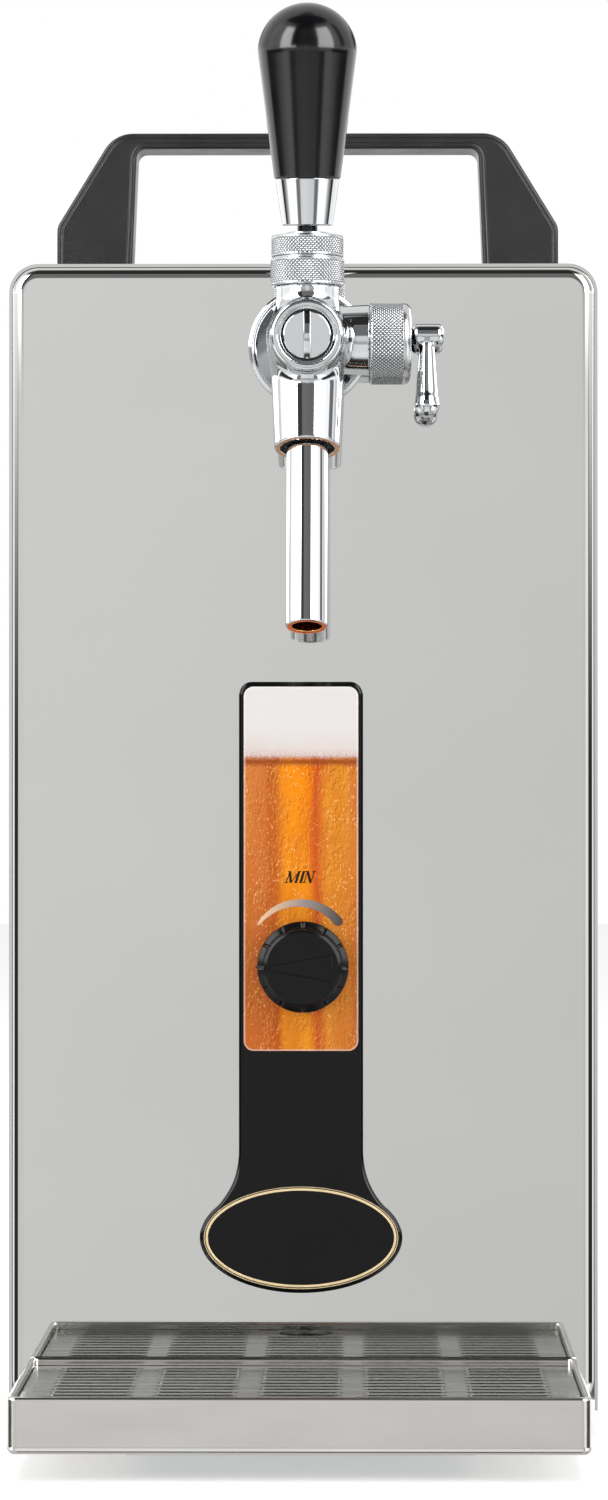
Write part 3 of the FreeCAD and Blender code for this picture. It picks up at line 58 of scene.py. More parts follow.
panelLow, panelHigh = nodeBox("front_panel")
panelFace = panelLow.y
rosetteLow, rosetteHigh = nodeBox("rosette")
tapSide = (rosetteLow.x + rosetteHigh.x) / 2
tapHeight = (rosetteLow.z + rosetteHigh.z) / 2
labelLow, labelHigh = nodeBox("label_plate")
labelSide = (labelLow.x + labelHigh.x) / 2
knobLow, knobHigh = nodeBox("thermostat_knob")
dialHeight = (knobLow.z + knobHigh.z) / 2
leverReach, leverRise, leverLean = 35.5, 27.3, 5
branchReach, branchRise = 15, 1
spoutReach, spoutLean = 28.5, 18


# meshes

def pointAway(degrees):
    # a direction turned about X from straight up towards the front
    return Matrix.Rotation(math.radians(degrees), 3, "X") @ Vector((0, 0, 1))


def placeAt(origin, axis, side=Vector((1, 0, 0))):
    # local Z along axis, local X as near to side as it can be
    axis = Vector(axis).normalized()
    across = (side - axis * side.dot(axis)).normalized()
    turn = Matrix((across, axis.cross(across), axis)).transposed()
    return Matrix.Translation(Vector(origin)) @ turn.to_4x4()


def onPanel(side, height, proud=0):
    # a place before the front panel, local Z towards the front
    return placeAt((side, panelFace - proud, height), (0, -1, 0))


barrel = onPanel(tapSide, tapHeight)
leverFoot = placeAt((tapSide, panelFace - leverReach, tapHeight), (0, 0, 1))
handleAxis = placeAt((tapSide, panelFace - leverReach, tapHeight + leverRise), pointAway(leverLean))
branch = placeAt((tapSide, panelFace - branchReach, tapHeight + branchRise), (1, 0, 0), Vector((0, -1, 0)))
spoutAxis = placeAt((tapSide, panelFace - spoutReach, tapHeight), pointAway(180 - spoutLean))


def addMesh(name, points, faces, place=Matrix(), smooth=True):
    mesh = bpy.data.meshes.new(name)
    world = [(place @ Vector(p)) / 1000 for p in points]
    mesh.from_pydata(world, [], [tuple(f) for f in faces])
    mesh.validate()
    mesh.polygons.foreach_set("use_smooth", [smooth] * len(mesh.polygons))
    mesh.update()
    thing = bpy.data.objects.new(name, mesh)
    bpy.context.scene.collection.objects.link(thing)
    return thing


def roundedPath(corners, closed=False, steps=6, guard=0.05):
    # corners are (x, y, fillet radius); guard points beside each fillet keep the flats flat when shaded
    path = []
    last = len(corners) - 1
    for i, (x, y, radius) in enumerate(corners):
        here = Vector((x, y))
        if radius == 0 or (not closed and i in (0, last)):
            path.append(here)
            continue
        before = (Vector(corners[i - 1][:2]) - here).normalized()
        after = (Vector(corners[(i + 1) % len(corners)][:2]) - here).normalized()
        half = before.angle(after) / 2
        reach = radius / math.tan(half)
        centre = here + (before + after).normalized() * radius / math.sin(half)
        start = here + before * reach - centre
        turn = math.pi - 2 * half
        if before.x * after.y - before.y * after.x > 0:
            turn = -turn
        path.append(here + before * (reach + guard))
        path += [centre + Matrix.Rotation(turn * k / steps, 2) @ start for k in range(steps + 1)]
        path.append(here + after * (reach + guard))
    return path


def lathe(name, place, profile, around=144, relief=None):
    # profile is (radius, height) pairs; relief cuts into the radius, by angle and height
    points, rings = [], []
    angles = np.arange(around) * 2 * math.pi / around
    for radius, height in profile:
        if radius < 1e-6:
            rings.append([len(points)])
            points.append((0, 0, height))
            continue
        cut = relief(angles, height) if relief else 0 * angles
        rings.append(list(range(len(points), len(points) + around)))
        points += [((radius - c) * math.cos(a), (radius - c) * math.sin(a), height)
                   for a, c in zip(angles, cut)]
    faces = []
    for low, high in zip(rings, rings[1:]):
        for k in range(around):
            n = (k + 1) % around
            ring = [low[k % len(low)], low[n % len(low)], high[n % len(high)], high[k % len(high)]]
            faces.append(list(dict.fromkeys(ring)))
    return addMesh(name, points, [f for f in faces if len(f) > 2], place)


def inset(outline, distance):
    # a closed outline, run anticlockwise, moved inwards
    here = np.array([tuple(p) for p in outline])
    ahead = np.roll(here, -1, 0) - here
    ahead /= np.linalg.norm(ahead, axis=1)[:, None]
    behind = np.roll(ahead, 1, 0)
    way = np.stack([-(ahead + behind)[:, 1], (ahead + behind)[:, 0]], 1)
    way /= np.linalg.norm(way, axis=1)[:, None]
    mitre = np.maximum((way[:, 0] * -ahead[:, 1] + way[:, 1] * ahead[:, 0]), 0.3)
    return here + way * (distance / mitre)[:, None]


def mark(thing, name, values):
    # one number at each vertex, for a material to read
    thing.data.attributes.new(name, "FLOAT", "POINT").data.foreach_set("value", values)


def stackOutline(name, outline, profile, place, capStart=True, capEnd=True, smooth=True):
    # rings of the same outline, each moved in by an inset and up to a height
    points, faces = [], []
    count = len(outline)
    for distance, height in profile:
        points += [(x, y, height) for x, y in inset(outline, distance)]
    for ring in range(len(profile) - 1):
        for k in range(count):
            n = (k + 1) % count
            faces.append([ring * count + k, ring * count + n, (ring + 1) * count + n,
                          (ring + 1) * count + k])
    if capStart:
        faces.append(list(range(count))[::-1])
    if capEnd:
        faces.append(list(range(len(points) - count, len(points))))
    thing = addMesh(name, points, faces, place)
    for face in thing.data.polygons:
        face.use_smooth = smooth and len(face.vertices) == 4   # the end caps stay flat
    return thing


widestGuard = 0.4   # keeps guard points clear of their fillets when an outline is moved inwards


def roundedBox(halfWidth, halfDepth, corner, steps=8):
    return roundedPath([(-halfWidth, -halfDepth, corner), (halfWidth, -halfDepth, corner),
                        (halfWidth, halfDepth, corner), (-halfWidth, halfDepth, corner)],
                       closed=True, steps=steps, guard=widestGuard)


# a cast or forged form: one skin over several shapes, blended where they meet

def smoothUnion(a, b, blendRadius):
    h = np.clip(0.5 + 0.5 * (b - a) / blendRadius, 0, 1)
    return b + (a - b) * h - blendRadius * h * (1 - h)


def roundBar(points, place, start, end, startRadius, endRadius, edge):
    # distance to a round bar, or cone, along local Z with rounded ends
    local = points @ np.array(place.inverted().to_3x3()).T + np.array(place.inverted().translation)
    along = local[:, 2] - (start + end) / 2
    half = (end - start) / 2
    share = np.clip((local[:, 2] - start) / (end - start), 0, 1)
    out = np.hypot(local[:, 0], local[:, 1]) - (startRadius + (endRadius - startRadius) * share)
    dx = out + edge
    dz = np.abs(along) - half + edge
    return np.minimum(np.maximum(dx, dz), 0) + np.hypot(np.maximum(dx, 0), np.maximum(dz, 0)) - edge


def castSkin(name, field, low, high, cell):
    # one point in each grid cell that the surface crosses, slid onto it along the slope of the field
    axes = [np.arange(a, b + cell, cell) for a, b in zip(low, high)]
    shape = [len(a) for a in axes]
    grid = np.stack(np.meshgrid(*axes, indexing="ij"), -1).reshape(-1, 3)
    inside = (field(grid) < 0).reshape(shape)
    cells = np.zeros([s - 1 for s in shape], int)
    for i in (0, 1):
        for j in (0, 1):
            for k in (0, 1):
                cells += inside[i:shape[0] - 1 + i, j:shape[1] - 1 + j, k:shape[2] - 1 + k]
    crossed = (cells > 0) & (cells < 8)
    index = np.full(crossed.shape, -1)
    index[crossed] = np.arange(crossed.sum())
    points = np.argwhere(crossed) * cell + np.array(low) + cell / 2
    step = cell / 20
    for _ in range(6):
        value = field(points)
        slope = np.stack([(field(points + e) - field(points - e)) / (2 * step)
                          for e in np.eye(3) * step], 1)
        points -= slope * (value / np.maximum((slope ** 2).sum(1), 0.2))[:, None]
    faces = []
    for axis in range(3):
        u, v = (axis + 1) % 3, (axis + 2) % 3
        a = np.moveaxis(inside, [axis, u, v], [0, 1, 2])
        c = np.moveaxis(index, [axis, u, v], [0, 1, 2])
        change = a[:-1, 1:-1, 1:-1].astype(int) - a[1:, 1:-1, 1:-1]
        for sign in (1, -1):
            i, j, k = np.nonzero(change == sign)
            quad = [c[i, j, k], c[i, j + 1, k], c[i, j + 1, k + 1], c[i, j, k + 1]]
            faces.append(np.stack(quad[::sign], 1))
    return addMesh(name, points, np.concatenate(faces).tolist())


# materials

def hexColour(code):
    parts = [int(code[i:i + 2], 16) / 255 for i in (1, 3, 5)]
    return [p / 12.92 if p <= 0.04045 else ((p + 0.055) / 1.055) ** 2.4 for p in parts] + [1]


def addNode(tree, kind, inputs=None, out=0, **settings):
    node = tree.nodes.new("ShaderNode" + kind)
    for name, value in settings.items():
        setattr(node, name, value)
    for socket, value in (inputs or {}).items():
        if isinstance(value, bpy.types.NodeSocket):
            tree.links.new(value, node.inputs[socket])
        else:
            node.inputs[socket].default_value = value
    return node.outputs[out] if len(node.outputs) else node


def spread(tree, value, low, high, first=0, last=1, **settings):
    # value from low to high, turned to first to last
    return addNode(tree, "MapRange", {0: value, 1: low, 2: high, 3: first, 4: last}, **settings)


def maths(tree, operation, *values):
    return addNode(tree, "Math", dict(enumerate(values)), operation=operation)


def blend(tree, share, first, second):
    # a colour between two others, which are sockets or sRGB codes
    pair = [hexColour(c) if isinstance(c, str) else c for c in (first, second)]
    return addNode(tree, "Mix", {0: share, 6: pair[0], 7: pair[1]}, 2, data_type="RGBA")


def startMaterial(name, shader):
    # a new material with its constant shader values, and its object coordinates in metres
    material = bpy.data.materials.new(name)
    material.use_nodes = True
    tree = material.node_tree
    for socket, value in shader.items():
        tree.nodes["Principled BSDF"].inputs[socket].default_value = value
    return material, tree, tree.nodes["Principled BSDF"], addNode(tree, "TexCoord", out=3)


def stretched(tree, coords, sizes, detail=2, roughness=0.5):
    # noise whose grains measure the given millimetres along x, y and z
    scaled = addNode(tree, "Mapping", {"Vector": coords, "Scale": [1000 / s for s in sizes]})
    return addNode(tree, "TexNoise", {"Vector": scaled, "Scale": 1, "Detail": detail,
                                      "Roughness": roughness})


def finish(name, shader, tones, cloud, gloss, grain, depth, marks=None):
    # tones: two colours mixed by clouds of that size; gloss: lowest and highest roughness;
    # grain: its size in mm along each axis and its depth in mm; marks: (size, share, roughness added)
    material, tree, surface, coords = startMaterial(name, shader)
    clouds = stretched(tree, coords, cloud, 3)
    tree.links.new(blend(tree, clouds, *tones), surface.inputs["Base Color"])
    grains = stretched(tree, coords, grain, 4, 0.6)
    rough = spread(tree, maths(tree, "ADD", clouds, grains), 0.6, 1.4, *gloss)
    if marks:
        smears = stretched(tree, coords, marks[0], 6, 0.7)
        worn = spread(tree, smears, 1 - marks[1], 1 - marks[1] / 2, 0, marks[2])
        rough = maths(tree, "ADD", rough, worn)
    tree.links.new(rough, surface.inputs["Roughness"])
    bump = addNode(tree, "Bump", {"Height": grains, "Distance": depth / 1000, "Strength": 1})
    tree.links.new(bump, surface.inputs["Normal"])
    return material


metal = {"Metallic": 1}


def plastic(level):
    # how strongly a plain surface mirrors the room
    return {"Specular IOR Level": level}


# polished 304 sheet: a cold near-mirror with a trace of the buffing wheel and slow waves from rolling
mirrorSteel = finish("mirrorPolishedStainlessSheet", metal, ("#cbcbc9", "#c5c6c3"), (90, 90, 60),
                     (0.012, 0.035), (60, 60, 55), 0.004)
# cover sheet of the same steel, with a little more haze where it is handled
coverSteel = finish("polishedStainlessCover", metal, ("#c9c9c7", "#c1c2c0"), (60, 80, 60), (0.06, 0.13),
                    (70, 45, 50), 0.012, ((35, 35, 25), 0.45, 0.06))
# brushed 304: fine lines across the sheet that spread its highlights sideways
brushedSteel = finish("brushedStainlessSheet", metal, ("#c4c4c1", "#b8b8b5"), (40, 4, 4), (0.16, 0.3),
                      (24, 0.35, 0.35), 0.004)
# deep-drawn and polished tray steel, scuffed by glasses
trayPolish = finish("polishedTraySteel", metal, ("#d6d4d0", "#ccc9c5"), (50, 30, 20), (0.1, 0.2),
                    (30, 0.5, 6), 0.002, ((6, 6, 6), 0.42, 0.1))
# galvanised sheet: dull grey with zinc flowers
zincSheet = finish("galvanisedSheet", metal, ("#a9adaf", "#8d9193"), (9, 9, 9), (0.3, 0.5), (5, 5, 5), 0.01)
# nickel and chromium plate on brass: bright, very smooth, with faint finger haze
chrome = finish("chromePlatedBrass", metal, ("#cbcdcf", "#c5c7c9"), (14, 14, 14), (0.02, 0.05), (9, 9, 9),
                0.002, ((11, 11, 11), 0.4, 0.04))
# the same plate on the knurls: duller, with painted shade that darkens its grooves by their depth
knurledChrome = finish("knurledChromePlate", metal, ("#cbcdcf", "#c5c7c9"), (14, 14, 14), (0.2, 0.28),
                       (2, 2, 2), 0.004)
plateTree = knurledChrome.node_tree
plateColour = plateTree.nodes["Principled BSDF"].inputs["Base Color"]
# painted shade: the base colour is pulled towards dark grey by how deep each point sits in a knurl groove
grooveShadeShare = addNode(plateTree, "Attribute", out=2, attribute_name="groove")
grooveShaded = blend(plateTree, grooveShadeShare, plateColour.links[0].from_socket, "#3a3b3e")
plateTree.links.new(grooveShaded, plateColour)
# the stem between the collar and the handle, made near black as painted shade for the dark gap there
stemShadeSteel = finish("paintedShadeStemSteel", {"Metallic": 0.9}, ("#26282c", "#303236"), (4, 4, 4), (0.15, 0.25),
                    (1, 1, 1), 0.004)
# bright zinc on pressed steel screws
zincScrew = finish("zincPlatedScrew", metal, ("#b9bdc1", "#9fa3a8"), (2, 2, 2), (0.2, 0.38),
                   (0.7, 0.7, 0.7), 0.01)
# glass-filled polyamide, spark-eroded: dark grey, evenly matt with a fine pebble
mouldedBlack = finish("mouldedBlackPolyamide", plastic(0.5), ("#2b2a2b", "#323132"), (12, 12, 12),
                      (0.36, 0.5), (0.55, 0.55, 0.55), 0.03)
# the same moulding in the carry handle, a shade darker and worn a little smoother
handleBlack = finish("carryHandlePolyamide", plastic(0.4), ("#201e20", "#272527"), (12, 12, 12),
                     (0.3, 0.44), (0.55, 0.55, 0.55), 0.03)
# polished black ABS of the dial, which shows little of the room
dialBlack = finish("polishedBlackAbs", plastic(0.12), ("#121213", "#171718"), (8, 8, 8), (0.12, 0.2),
                   (1.2, 1.2, 1.2), 0.006)
# smooth ABS for the thermostat's case and the switches
smoothBlack = finish("smoothBlackAbs", plastic(0.4), ("#171718", "#1e1e1f"), (8, 8, 8), (0.28, 0.4),
                     (1.2, 1.2, 1.2), 0.008)
# turned and buffed phenolic of the tap handle: deep black under a hard gloss
glossPhenolic = finish("buffedPhenolicHandle", {**plastic(0.42), "Coat Weight": 0.1, "Coat Roughness": 0.03},
                       ("#08080a", "#0d0d10"), (10, 10, 10), (0.13, 0.2), (14, 14, 14), 0.004)
# printed film under poured polyurethane: black, wet-looking, faintly uneven
domedResin = finish("domedResinOverBlackPrint", plastic(0.16), ("#0b0b0b", "#101010"), (16, 16, 16),
                    (0.04, 0.09), (18, 18, 18), 0.015)
# gold ink screened under the resin
goldInk = finish("screenedGoldInk", plastic(0.3), ("#f3dfb6", "#e3c898"), (3, 3, 3), (0.25, 0.4),
                 (0.4, 0.4, 0.4), 0.002)
# dark ink of the lettering on the same film
darkInk = finish("screenedDarkInk", plastic(0.2), ("#140e0b", "#1b1410"), (3, 3, 3), (0.3, 0.45),
                 (0.4, 0.4, 0.4), 0.002)
# EPDM rubber: charcoal, dry, with bloom
rubber = finish("epdmRubber", plastic(0.35), ("#1c1c1c", "#2a2a2a"), (4, 4, 4), (0.62, 0.8),
                (0.6, 0.6, 0.6), 0.02)
# bare turned brass and copper in the bores that the plating doesn't reach
bareBrass = finish("bareTurnedBrass", metal, ("#d89a5c", "#c07a42"), (2, 2, 2), (0.14, 0.26),
                   (0.3, 0.3, 0.3), 0.004)
copperTube = finish("drawnCopperTube", metal, ("#c77f57", "#a8623f"), (8, 8, 8), (0.22, 0.4),
                    (1.5, 1.5, 1.5), 0.006)
castAluminium = finish("castAluminium", metal, ("#b6b8ba", "#a2a4a6"), (7, 7, 7), (0.32, 0.5), (1, 1, 1),
                       0.03)
# blown polyethylene foam around the cold block
foamGrey = finish("closedCellFoam", plastic(0.2), ("#46484a", "#3a3c3e"), (3, 3, 3), (0.8, 0.95),
                  (1.4, 1.4, 1.4), 0.2)
# stoved black enamel on the compressor shell
blackEnamel = finish("stovedBlackEnamel", {"Coat Weight": 0.3, "Coat Roughness": 0.15},
                     ("#0f0f10", "#161617"), (10, 10, 10), (0.22, 0.36), (2, 2, 2), 0.03)
# acetal fittings: milky white, waxy
acetal = finish("whiteAcetal", {"Subsurface Weight": 0.1, "Subsurface Radius": (0.002, 0.002, 0.002)},
                ("#e6e6e2", "#dcdcd7"), (6, 6, 6), (0.3, 0.42), (1, 1, 1), 0.006)
# food-grade polyethylene line
clearHose = finish("polyethyleneHose", {"Subsurface Weight": 0.15}, ("#d9dcdd", "#c6cacc"), (10, 10, 10),
                   (0.25, 0.38), (3, 3, 3), 0.01)
# black-stoved steel wire of the fan guard
guardWire = finish("stovedSteelWire", {"Metallic": 0.4}, ("#1d1d1f", "#2a2a2c"), (5, 5, 5), (0.3, 0.45),
                   (0.8, 0.8, 0.8), 0.01)
print("plain finishes made")

# sizes in mm; drops: (grain, shift, light, dark); sparks: (grain, crowd, size, colour, share);
# streaks: (place across the window, colour) from the left, for the top and for the foot of the glass
beerPrint = {"drops": [((1.3, 1.3, 2.3), 0.26, 0.45, 0.5), ((0.6, 0.6, 1.1), 0.16, 0.5, 0.5)],
             "sparks": [((0.75, 0.75, 1.7), 5, 0.3, "#f6c07e", 0.8),
                        ((1.2, 1.2, 2.4), 9, 0.16, "#ffd9a2", 0.9)],
             "foamLine": 206.8, "foamBlur": 1.2, "window": 34.9, "top": 204, "foot": 120, "sway": 6,
             "frothDepth": 2.2, "drift": "#c2601f", "shade": "#8e3f10", "shine": "#ffbf66",
             "foam": ("#d3bdb4", "#dad7d6", "#dcd8d7"), "line": "#8a3c1c", "speck": "#b06a58",
             # rim: the colour of the painted highlight round the film's edge
             "rim": "#fdf6ee",
             "upper": [(0.0, "#cf7c3c"), (0.16, "#c87338"), (0.21, "#b85c18"), (0.28, "#c06424"),
                       (0.35, "#f09012"), (0.5, "#f48c00"), (0.6, "#e27408"), (0.67, "#c84c1c"),
                       (0.74, "#dd8a22"), (0.84, "#d8861c"), (0.9, "#dc8c34"), (1.0, "#c87434")],
             "lower": [(0.0, "#c66c32"), (0.2, "#bf6029"), (0.3, "#b54f14"), (0.38, "#e48c1c"),
                       (0.56, "#ec9a20"), (0.66, "#c2501f"), (0.74, "#dc8a33"), (0.9, "#cf7c2e"),
                       (1.0, "#b8672e")]}


def streakRamp(tree, across, stops):
    ramp = tree.nodes.new("ShaderNodeValToRGB")
    tree.links.new(across, ramp.inputs[0])
    while len(ramp.color_ramp.elements) < len(stops):
        ramp.color_ramp.elements.new(0.5)
    for stop, (place, code) in zip(ramp.color_ramp.elements, stops):
        stop.position = place
        stop.color = hexColour(code)
    return ramp.outputs[0]


def makeBeerPrint(s):
    # offset print of a glass of lager: foam above, amber with upright streaks and bubbles below
    material, tree, surface, coords = startMaterial("printedLagerFilm", {
        "Specular IOR Level": 0.1, "Roughness": 0.22})
    x, z = [addNode(tree, "SeparateXYZ", {0: coords}, k) for k in (0, 2)]
    sway = maths(tree, "SUBTRACT", stretched(tree, coords, (9, 9, 40), 4), 0.5)
    swayed = maths(tree, "MULTIPLY_ADD", sway, s["sway"] / 1000, x)
    half, middle = s["window"] / 2000, labelSide / 1000
    across = spread(tree, swayed, middle - half, middle + half)
    height = spread(tree, z, s["foot"] / 1000, s["top"] / 1000)
    lager = blend(tree, height, streakRamp(tree, across, s["lower"]),
                  streakRamp(tree, across, s["upper"]))
    # warm and dark drifts, then drops lit from the upper left, then sparks of light
    drift = spread(tree, stretched(tree, coords, (5, 5, 16), 4), 0.35, 0.7, 0, 0.5)
    lager = blend(tree, drift, lager, s["drift"])
    for grain, shift, light, dark in s["drops"]:
        beside = addNode(tree, "Mapping", {"Vector": coords, "Location": (shift / 1000, 0, -shift / 800)})
        slope = maths(tree, "SUBTRACT", stretched(tree, coords, grain, 3), stretched(tree, beside, grain, 3))
        patch = spread(tree, stretched(tree, coords, (6, 6, 9), 3), 0.35, 0.62, 0.35, 1)
        slope = maths(tree, "MULTIPLY", slope, patch)
        lager = blend(tree, spread(tree, slope, -0.16, -0.03, dark, 0), lager, s["shade"])
        lager = blend(tree, spread(tree, slope, 0.05, 0.2, 0, light), lager, s["shine"])
    for grain, crowd, low, code, share in s["sparks"]:
        bubbleSpace = addNode(tree, "Mapping", {"Vector": coords, "Scale": [1000 / g for g in grain],
                                                "Location": (crowd, 0, crowd)})
        bubble = addNode(tree, "TexVoronoi", {"Vector": bubbleSpace, "Scale": 1, "Randomness": 1})
        crowds = stretched(tree, coords, (crowd, crowd, crowd * 2), 3)
        size = spread(tree, crowds, 0.38, 0.62, low * 0.3, low)
        spark = spread(tree, maths(tree, "SUBTRACT", size, bubble), 0, 0.12, 0, share)
        lager = blend(tree, spark, lager, code)
    # foam, pinker at its foot
    frothy = maths(tree, "MULTIPLY_ADD", stretched(tree, coords, (0.6, 0.6, 0.6), 4, 0.8),
                   s["frothDepth"] / 1000, z)
    line = s["foamLine"] / 1000 + 0.0011
    low, high, cloudy = s["foam"]
    foam = blend(tree, spread(tree, z, line, line + 0.009), low, high)
    foam = blend(tree, stretched(tree, coords, (7, 7, 6), 4), foam, cloudy)
    glass = blend(tree, spread(tree, frothy, line, line + s["foamBlur"] / 1000), lager, foam)
    # a brown line and specks where foam meets lager, and a painted highlight as a pale rim round the film
    edge = maths(tree, "MULTIPLY", spread(tree, frothy, line - 0.0024, line - 0.0009),
                 spread(tree, frothy, line - 0.0006, line + 0.0012, 1, 0))
    glass = blend(tree, maths(tree, "MULTIPLY", edge, 0.85), glass, s["line"])
    near = maths(tree, "MULTIPLY", spread(tree, z, line - 0.001, line + 0.0024, 1, 0),
                 spread(tree, z, line - 0.001, line - 0.0002))
    speck = spread(tree, stretched(tree, coords, (0.42, 0.42, 0.42), 2), 0.46, 0.6, 0, 0.85)
    glass = blend(tree, maths(tree, "MULTIPLY", near, speck), glass, s["speck"])
    # painted highlight: the film's edge is blended towards near white, for the light line along the resin's
    # edge
    rim = addNode(tree, "Attribute", out=2, attribute_name="rim")
    glass = blend(tree, maths(tree, "MULTIPLY", rim, 0.32), glass, s["rim"])
    tree.links.new(glass, surface.inputs["Base Color"])
    return material


lagerFilm = makeBeerPrint(beerPrint)

scaleInk = {"thin": "#ecc49c", "middle": "#9a8c88", "thick": "#37332f", "halfWidth": 12.5}


def makeScaleInk(s):
    # screened dial scale that goes from a pale to a dark tone along its length
    material, tree, surface, coords = startMaterial("screenedScaleInk", {
        "Specular IOR Level": 0.3, "Coat Weight": 0.25, "Coat Roughness": 0.04})
    x = addNode(tree, "SeparateXYZ", {0: coords}, 0)
    reach = s["halfWidth"] / 1000
    tone = blend(tree, spread(tree, x, -reach, 0), s["thin"], s["middle"])
    tone = blend(tree, spread(tree, x, 0, reach), tone, s["thick"])
    tree.links.new(tone, surface.inputs["Base Color"])
    grains = stretched(tree, coords, (0.5, 0.5, 0.5))
    tree.links.new(spread(tree, grains, 0, 1, 0.3, 0.45), surface.inputs["Roughness"])
    return material


dialInk = makeScaleInk(scaleInk)
print("printed finishes made")


def dress(thing, material, body, slot, *replaced):
    # one finish, one body and the CAD nodes that the piece stands for
    thing.data.materials.clear()
    thing.data.materials.append(material)
    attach(thing, body)
    if replaced:
        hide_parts(*replaced)
    return thing


# casing

frontPan = {"corner": 8, "bend": 3.6, "flange": 14, "gauge": 1}


def makeFrontPan(s):
    halfWidth = (panelHigh.x - panelLow.x) / 2
    halfHeight = (panelHigh.z - panelLow.z) / 2
    place = placeAt((0, panelFace, (panelHigh.z + panelLow.z) / 2), (0, 1, 0))
    bend, flange, gauge = s["bend"], s["flange"], s["gauge"]
    outline = roundedBox(halfWidth, halfHeight, s["corner"], 12)
    outer = roundedPath([(gauge, flange, 0), (0, flange, 0.2), (0, 0, bend), (bend + 2, 0, 0)], steps=14)
    inner = roundedPath([(bend + 2, gauge, 0), (gauge, gauge, bend - gauge), (gauge, flange, 0)], steps=8)
    pan = stackOutline("frontPan", outline, inner + outer, place)
    return dress(pan, mirrorSteel, "casing", "polished_steel", "front_panel")


makeFrontPan(frontPan)
print("front panel made")

# label plate

label = {"halfNeck": 18.95, "top": 230.5, "corner": 4, "flareStart": 88, "flareRadius": 25,
         "ovalHeight": 61.1, "ovalHalfWidth": 30.9, "ovalHalfHeight": 16.9, "meet": (0.825, 0.565),
         "thick": 2, "dome": 1.5, "edge": 0.7}
window = {"halfWidth": 17.45, "top": 229, "base": 118, "corner": 3, "proud": 0.06, "rim": 0.42}
rings = [{"name": "goldRing", "halfWidth": 29.1, "halfHeight": 15.1, "line": 0.75, "proud": 0.06},
         {"name": "fineGoldRing", "halfWidth": 29.6, "halfHeight": 15.6, "line": 0.22, "proud": 0.06}]


def makeLabelPlate(s):
    half, top = s["halfNeck"], s["top"]
    meet = Vector((s["meet"][0] * s["ovalHalfWidth"],
                   s["ovalHeight"] + s["meet"][1] * s["ovalHalfHeight"]))
    start = Vector((half, s["flareStart"]))
    chord = meet - start
    radius = s["flareRadius"]
    outward = Vector((-chord.y, chord.x)).normalized()
    centre = start + chord / 2 + outward * math.sqrt(radius ** 2 - (chord.length / 2) ** 2)
    sweep = (meet - centre).angle(start - centre)
    flare = [centre + Matrix.Rotation(sweep * k / 16, 2) @ (start - centre) for k in range(17)]
    low = math.asin(s["meet"][1])
    turn = [low - (math.pi + 2 * low) * k / 96 for k in range(1, 96)]
    oval = [Vector((s["ovalHalfWidth"] * math.cos(a),
                    s["ovalHeight"] + s["ovalHalfHeight"] * math.sin(a))) for a in turn]
    shoulder = roundedPath([(0, top, 0), (half, top, s["corner"]), (half, s["flareStart"] + 10, 0)],
                           steps=12, guard=widestGuard)
    right = shoulder + flare
    left = [Vector((-p.x, p.y)) for p in right[::-1]]
    path = right + oval + left[:-1]
    outline = path[::-1]
    thick, dome, edge = s["thick"], s["dome"], s["edge"]
    arch = [(dome * (1 - math.cos(a)), edge + (thick - edge) * math.sin(a))
            for a in np.linspace(0, math.pi / 2, 12)]
    plate = stackOutline("labelPlate", outline, [(0.4, 0.02), (0, 0.3)] + arch
                         + [(dome + 0.1, thick), (dome + 1.6, thick + 0.02)],
                         onPanel(labelSide, 0))
    return dress(plate, domedResin, "casing", "label_gloss", "label_plate")


def makeWindow(s):
    middle = (s["top"] + s["base"]) / 2
    outline = roundedBox(s["halfWidth"], (s["top"] - s["base"]) / 2,
                         s["corner"])
    proud, rim = s["proud"], s["rim"]
    film = stackOutline("lagerWindow", outline, [(0, -0.35), (0, 0), (0.1, proud), (rim, proud),
                                                 (rim + 0.12, proud)],
                        onPanel(labelSide, middle, label["thick"]), capStart=False)
    # the outer rings of the film carry the painted highlight round its edge
    mark(film, "rim", [1.0] * (4 * len(outline)) + [0.0] * len(outline))
    return dress(film, lagerFilm, "casing", "window_print", "window_print")


def makeRing(s):
    angles = np.linspace(0, 2 * math.pi, 193)[:-1]
    outline = [(s["halfWidth"] * math.cos(a), s["halfHeight"] * math.sin(a)) for a in angles]
    line, proud = s["line"], s["proud"]
    profile = [(0, -0.02), (0.05, proud), (line - 0.05, proud), (line, -0.02)]
    band = stackOutline(s["name"], outline, profile,
                        onPanel(labelSide, label["ovalHeight"], label["thick"]), capStart=False, capEnd=False)
    return dress(band, goldInk, "casing", "label_gloss")


dialScale = {"radius": 15.2, "side": -1.1, "rise": 4.3, "from": -57, "to": 51, "thick": 2.8, "proud": 0.16}


def makeDialScale(s):
    # a crescent that grows from a point at the left to a round end at the right
    low, high = math.radians(s["from"]), math.radians(s["to"])
    outer, inner = [], []
    for k in range(49):
        share = k / 48
        angle = low + (high - low) * share
        half = s["thick"] / 2 * share ** 0.38 + 0.02
        for side, radius in ((outer, s["radius"] + half), (inner, s["radius"] - half)):
            side.append(Vector((radius * math.sin(angle), radius * math.cos(angle))))
    end = s["thick"] / 2
    middle = Vector((s["radius"] * math.sin(high), s["radius"] * math.cos(high)))
    cap = [middle + Matrix.Rotation(-math.pi * k / 8, 2) @ Vector((math.sin(high), math.cos(high))) * end
           for k in range(1, 8)]
    outline = (outer + cap + inner[::-1])[::-1]
    place = onPanel(s["side"], dialHeight + s["rise"], label["thick"])
    scale = stackOutline("dialScale", outline, [(0, 0), (0, s["proud"])], place, capStart=False,
                         smooth=False)
    return dress(scale, dialInk, "casing", "window_print")


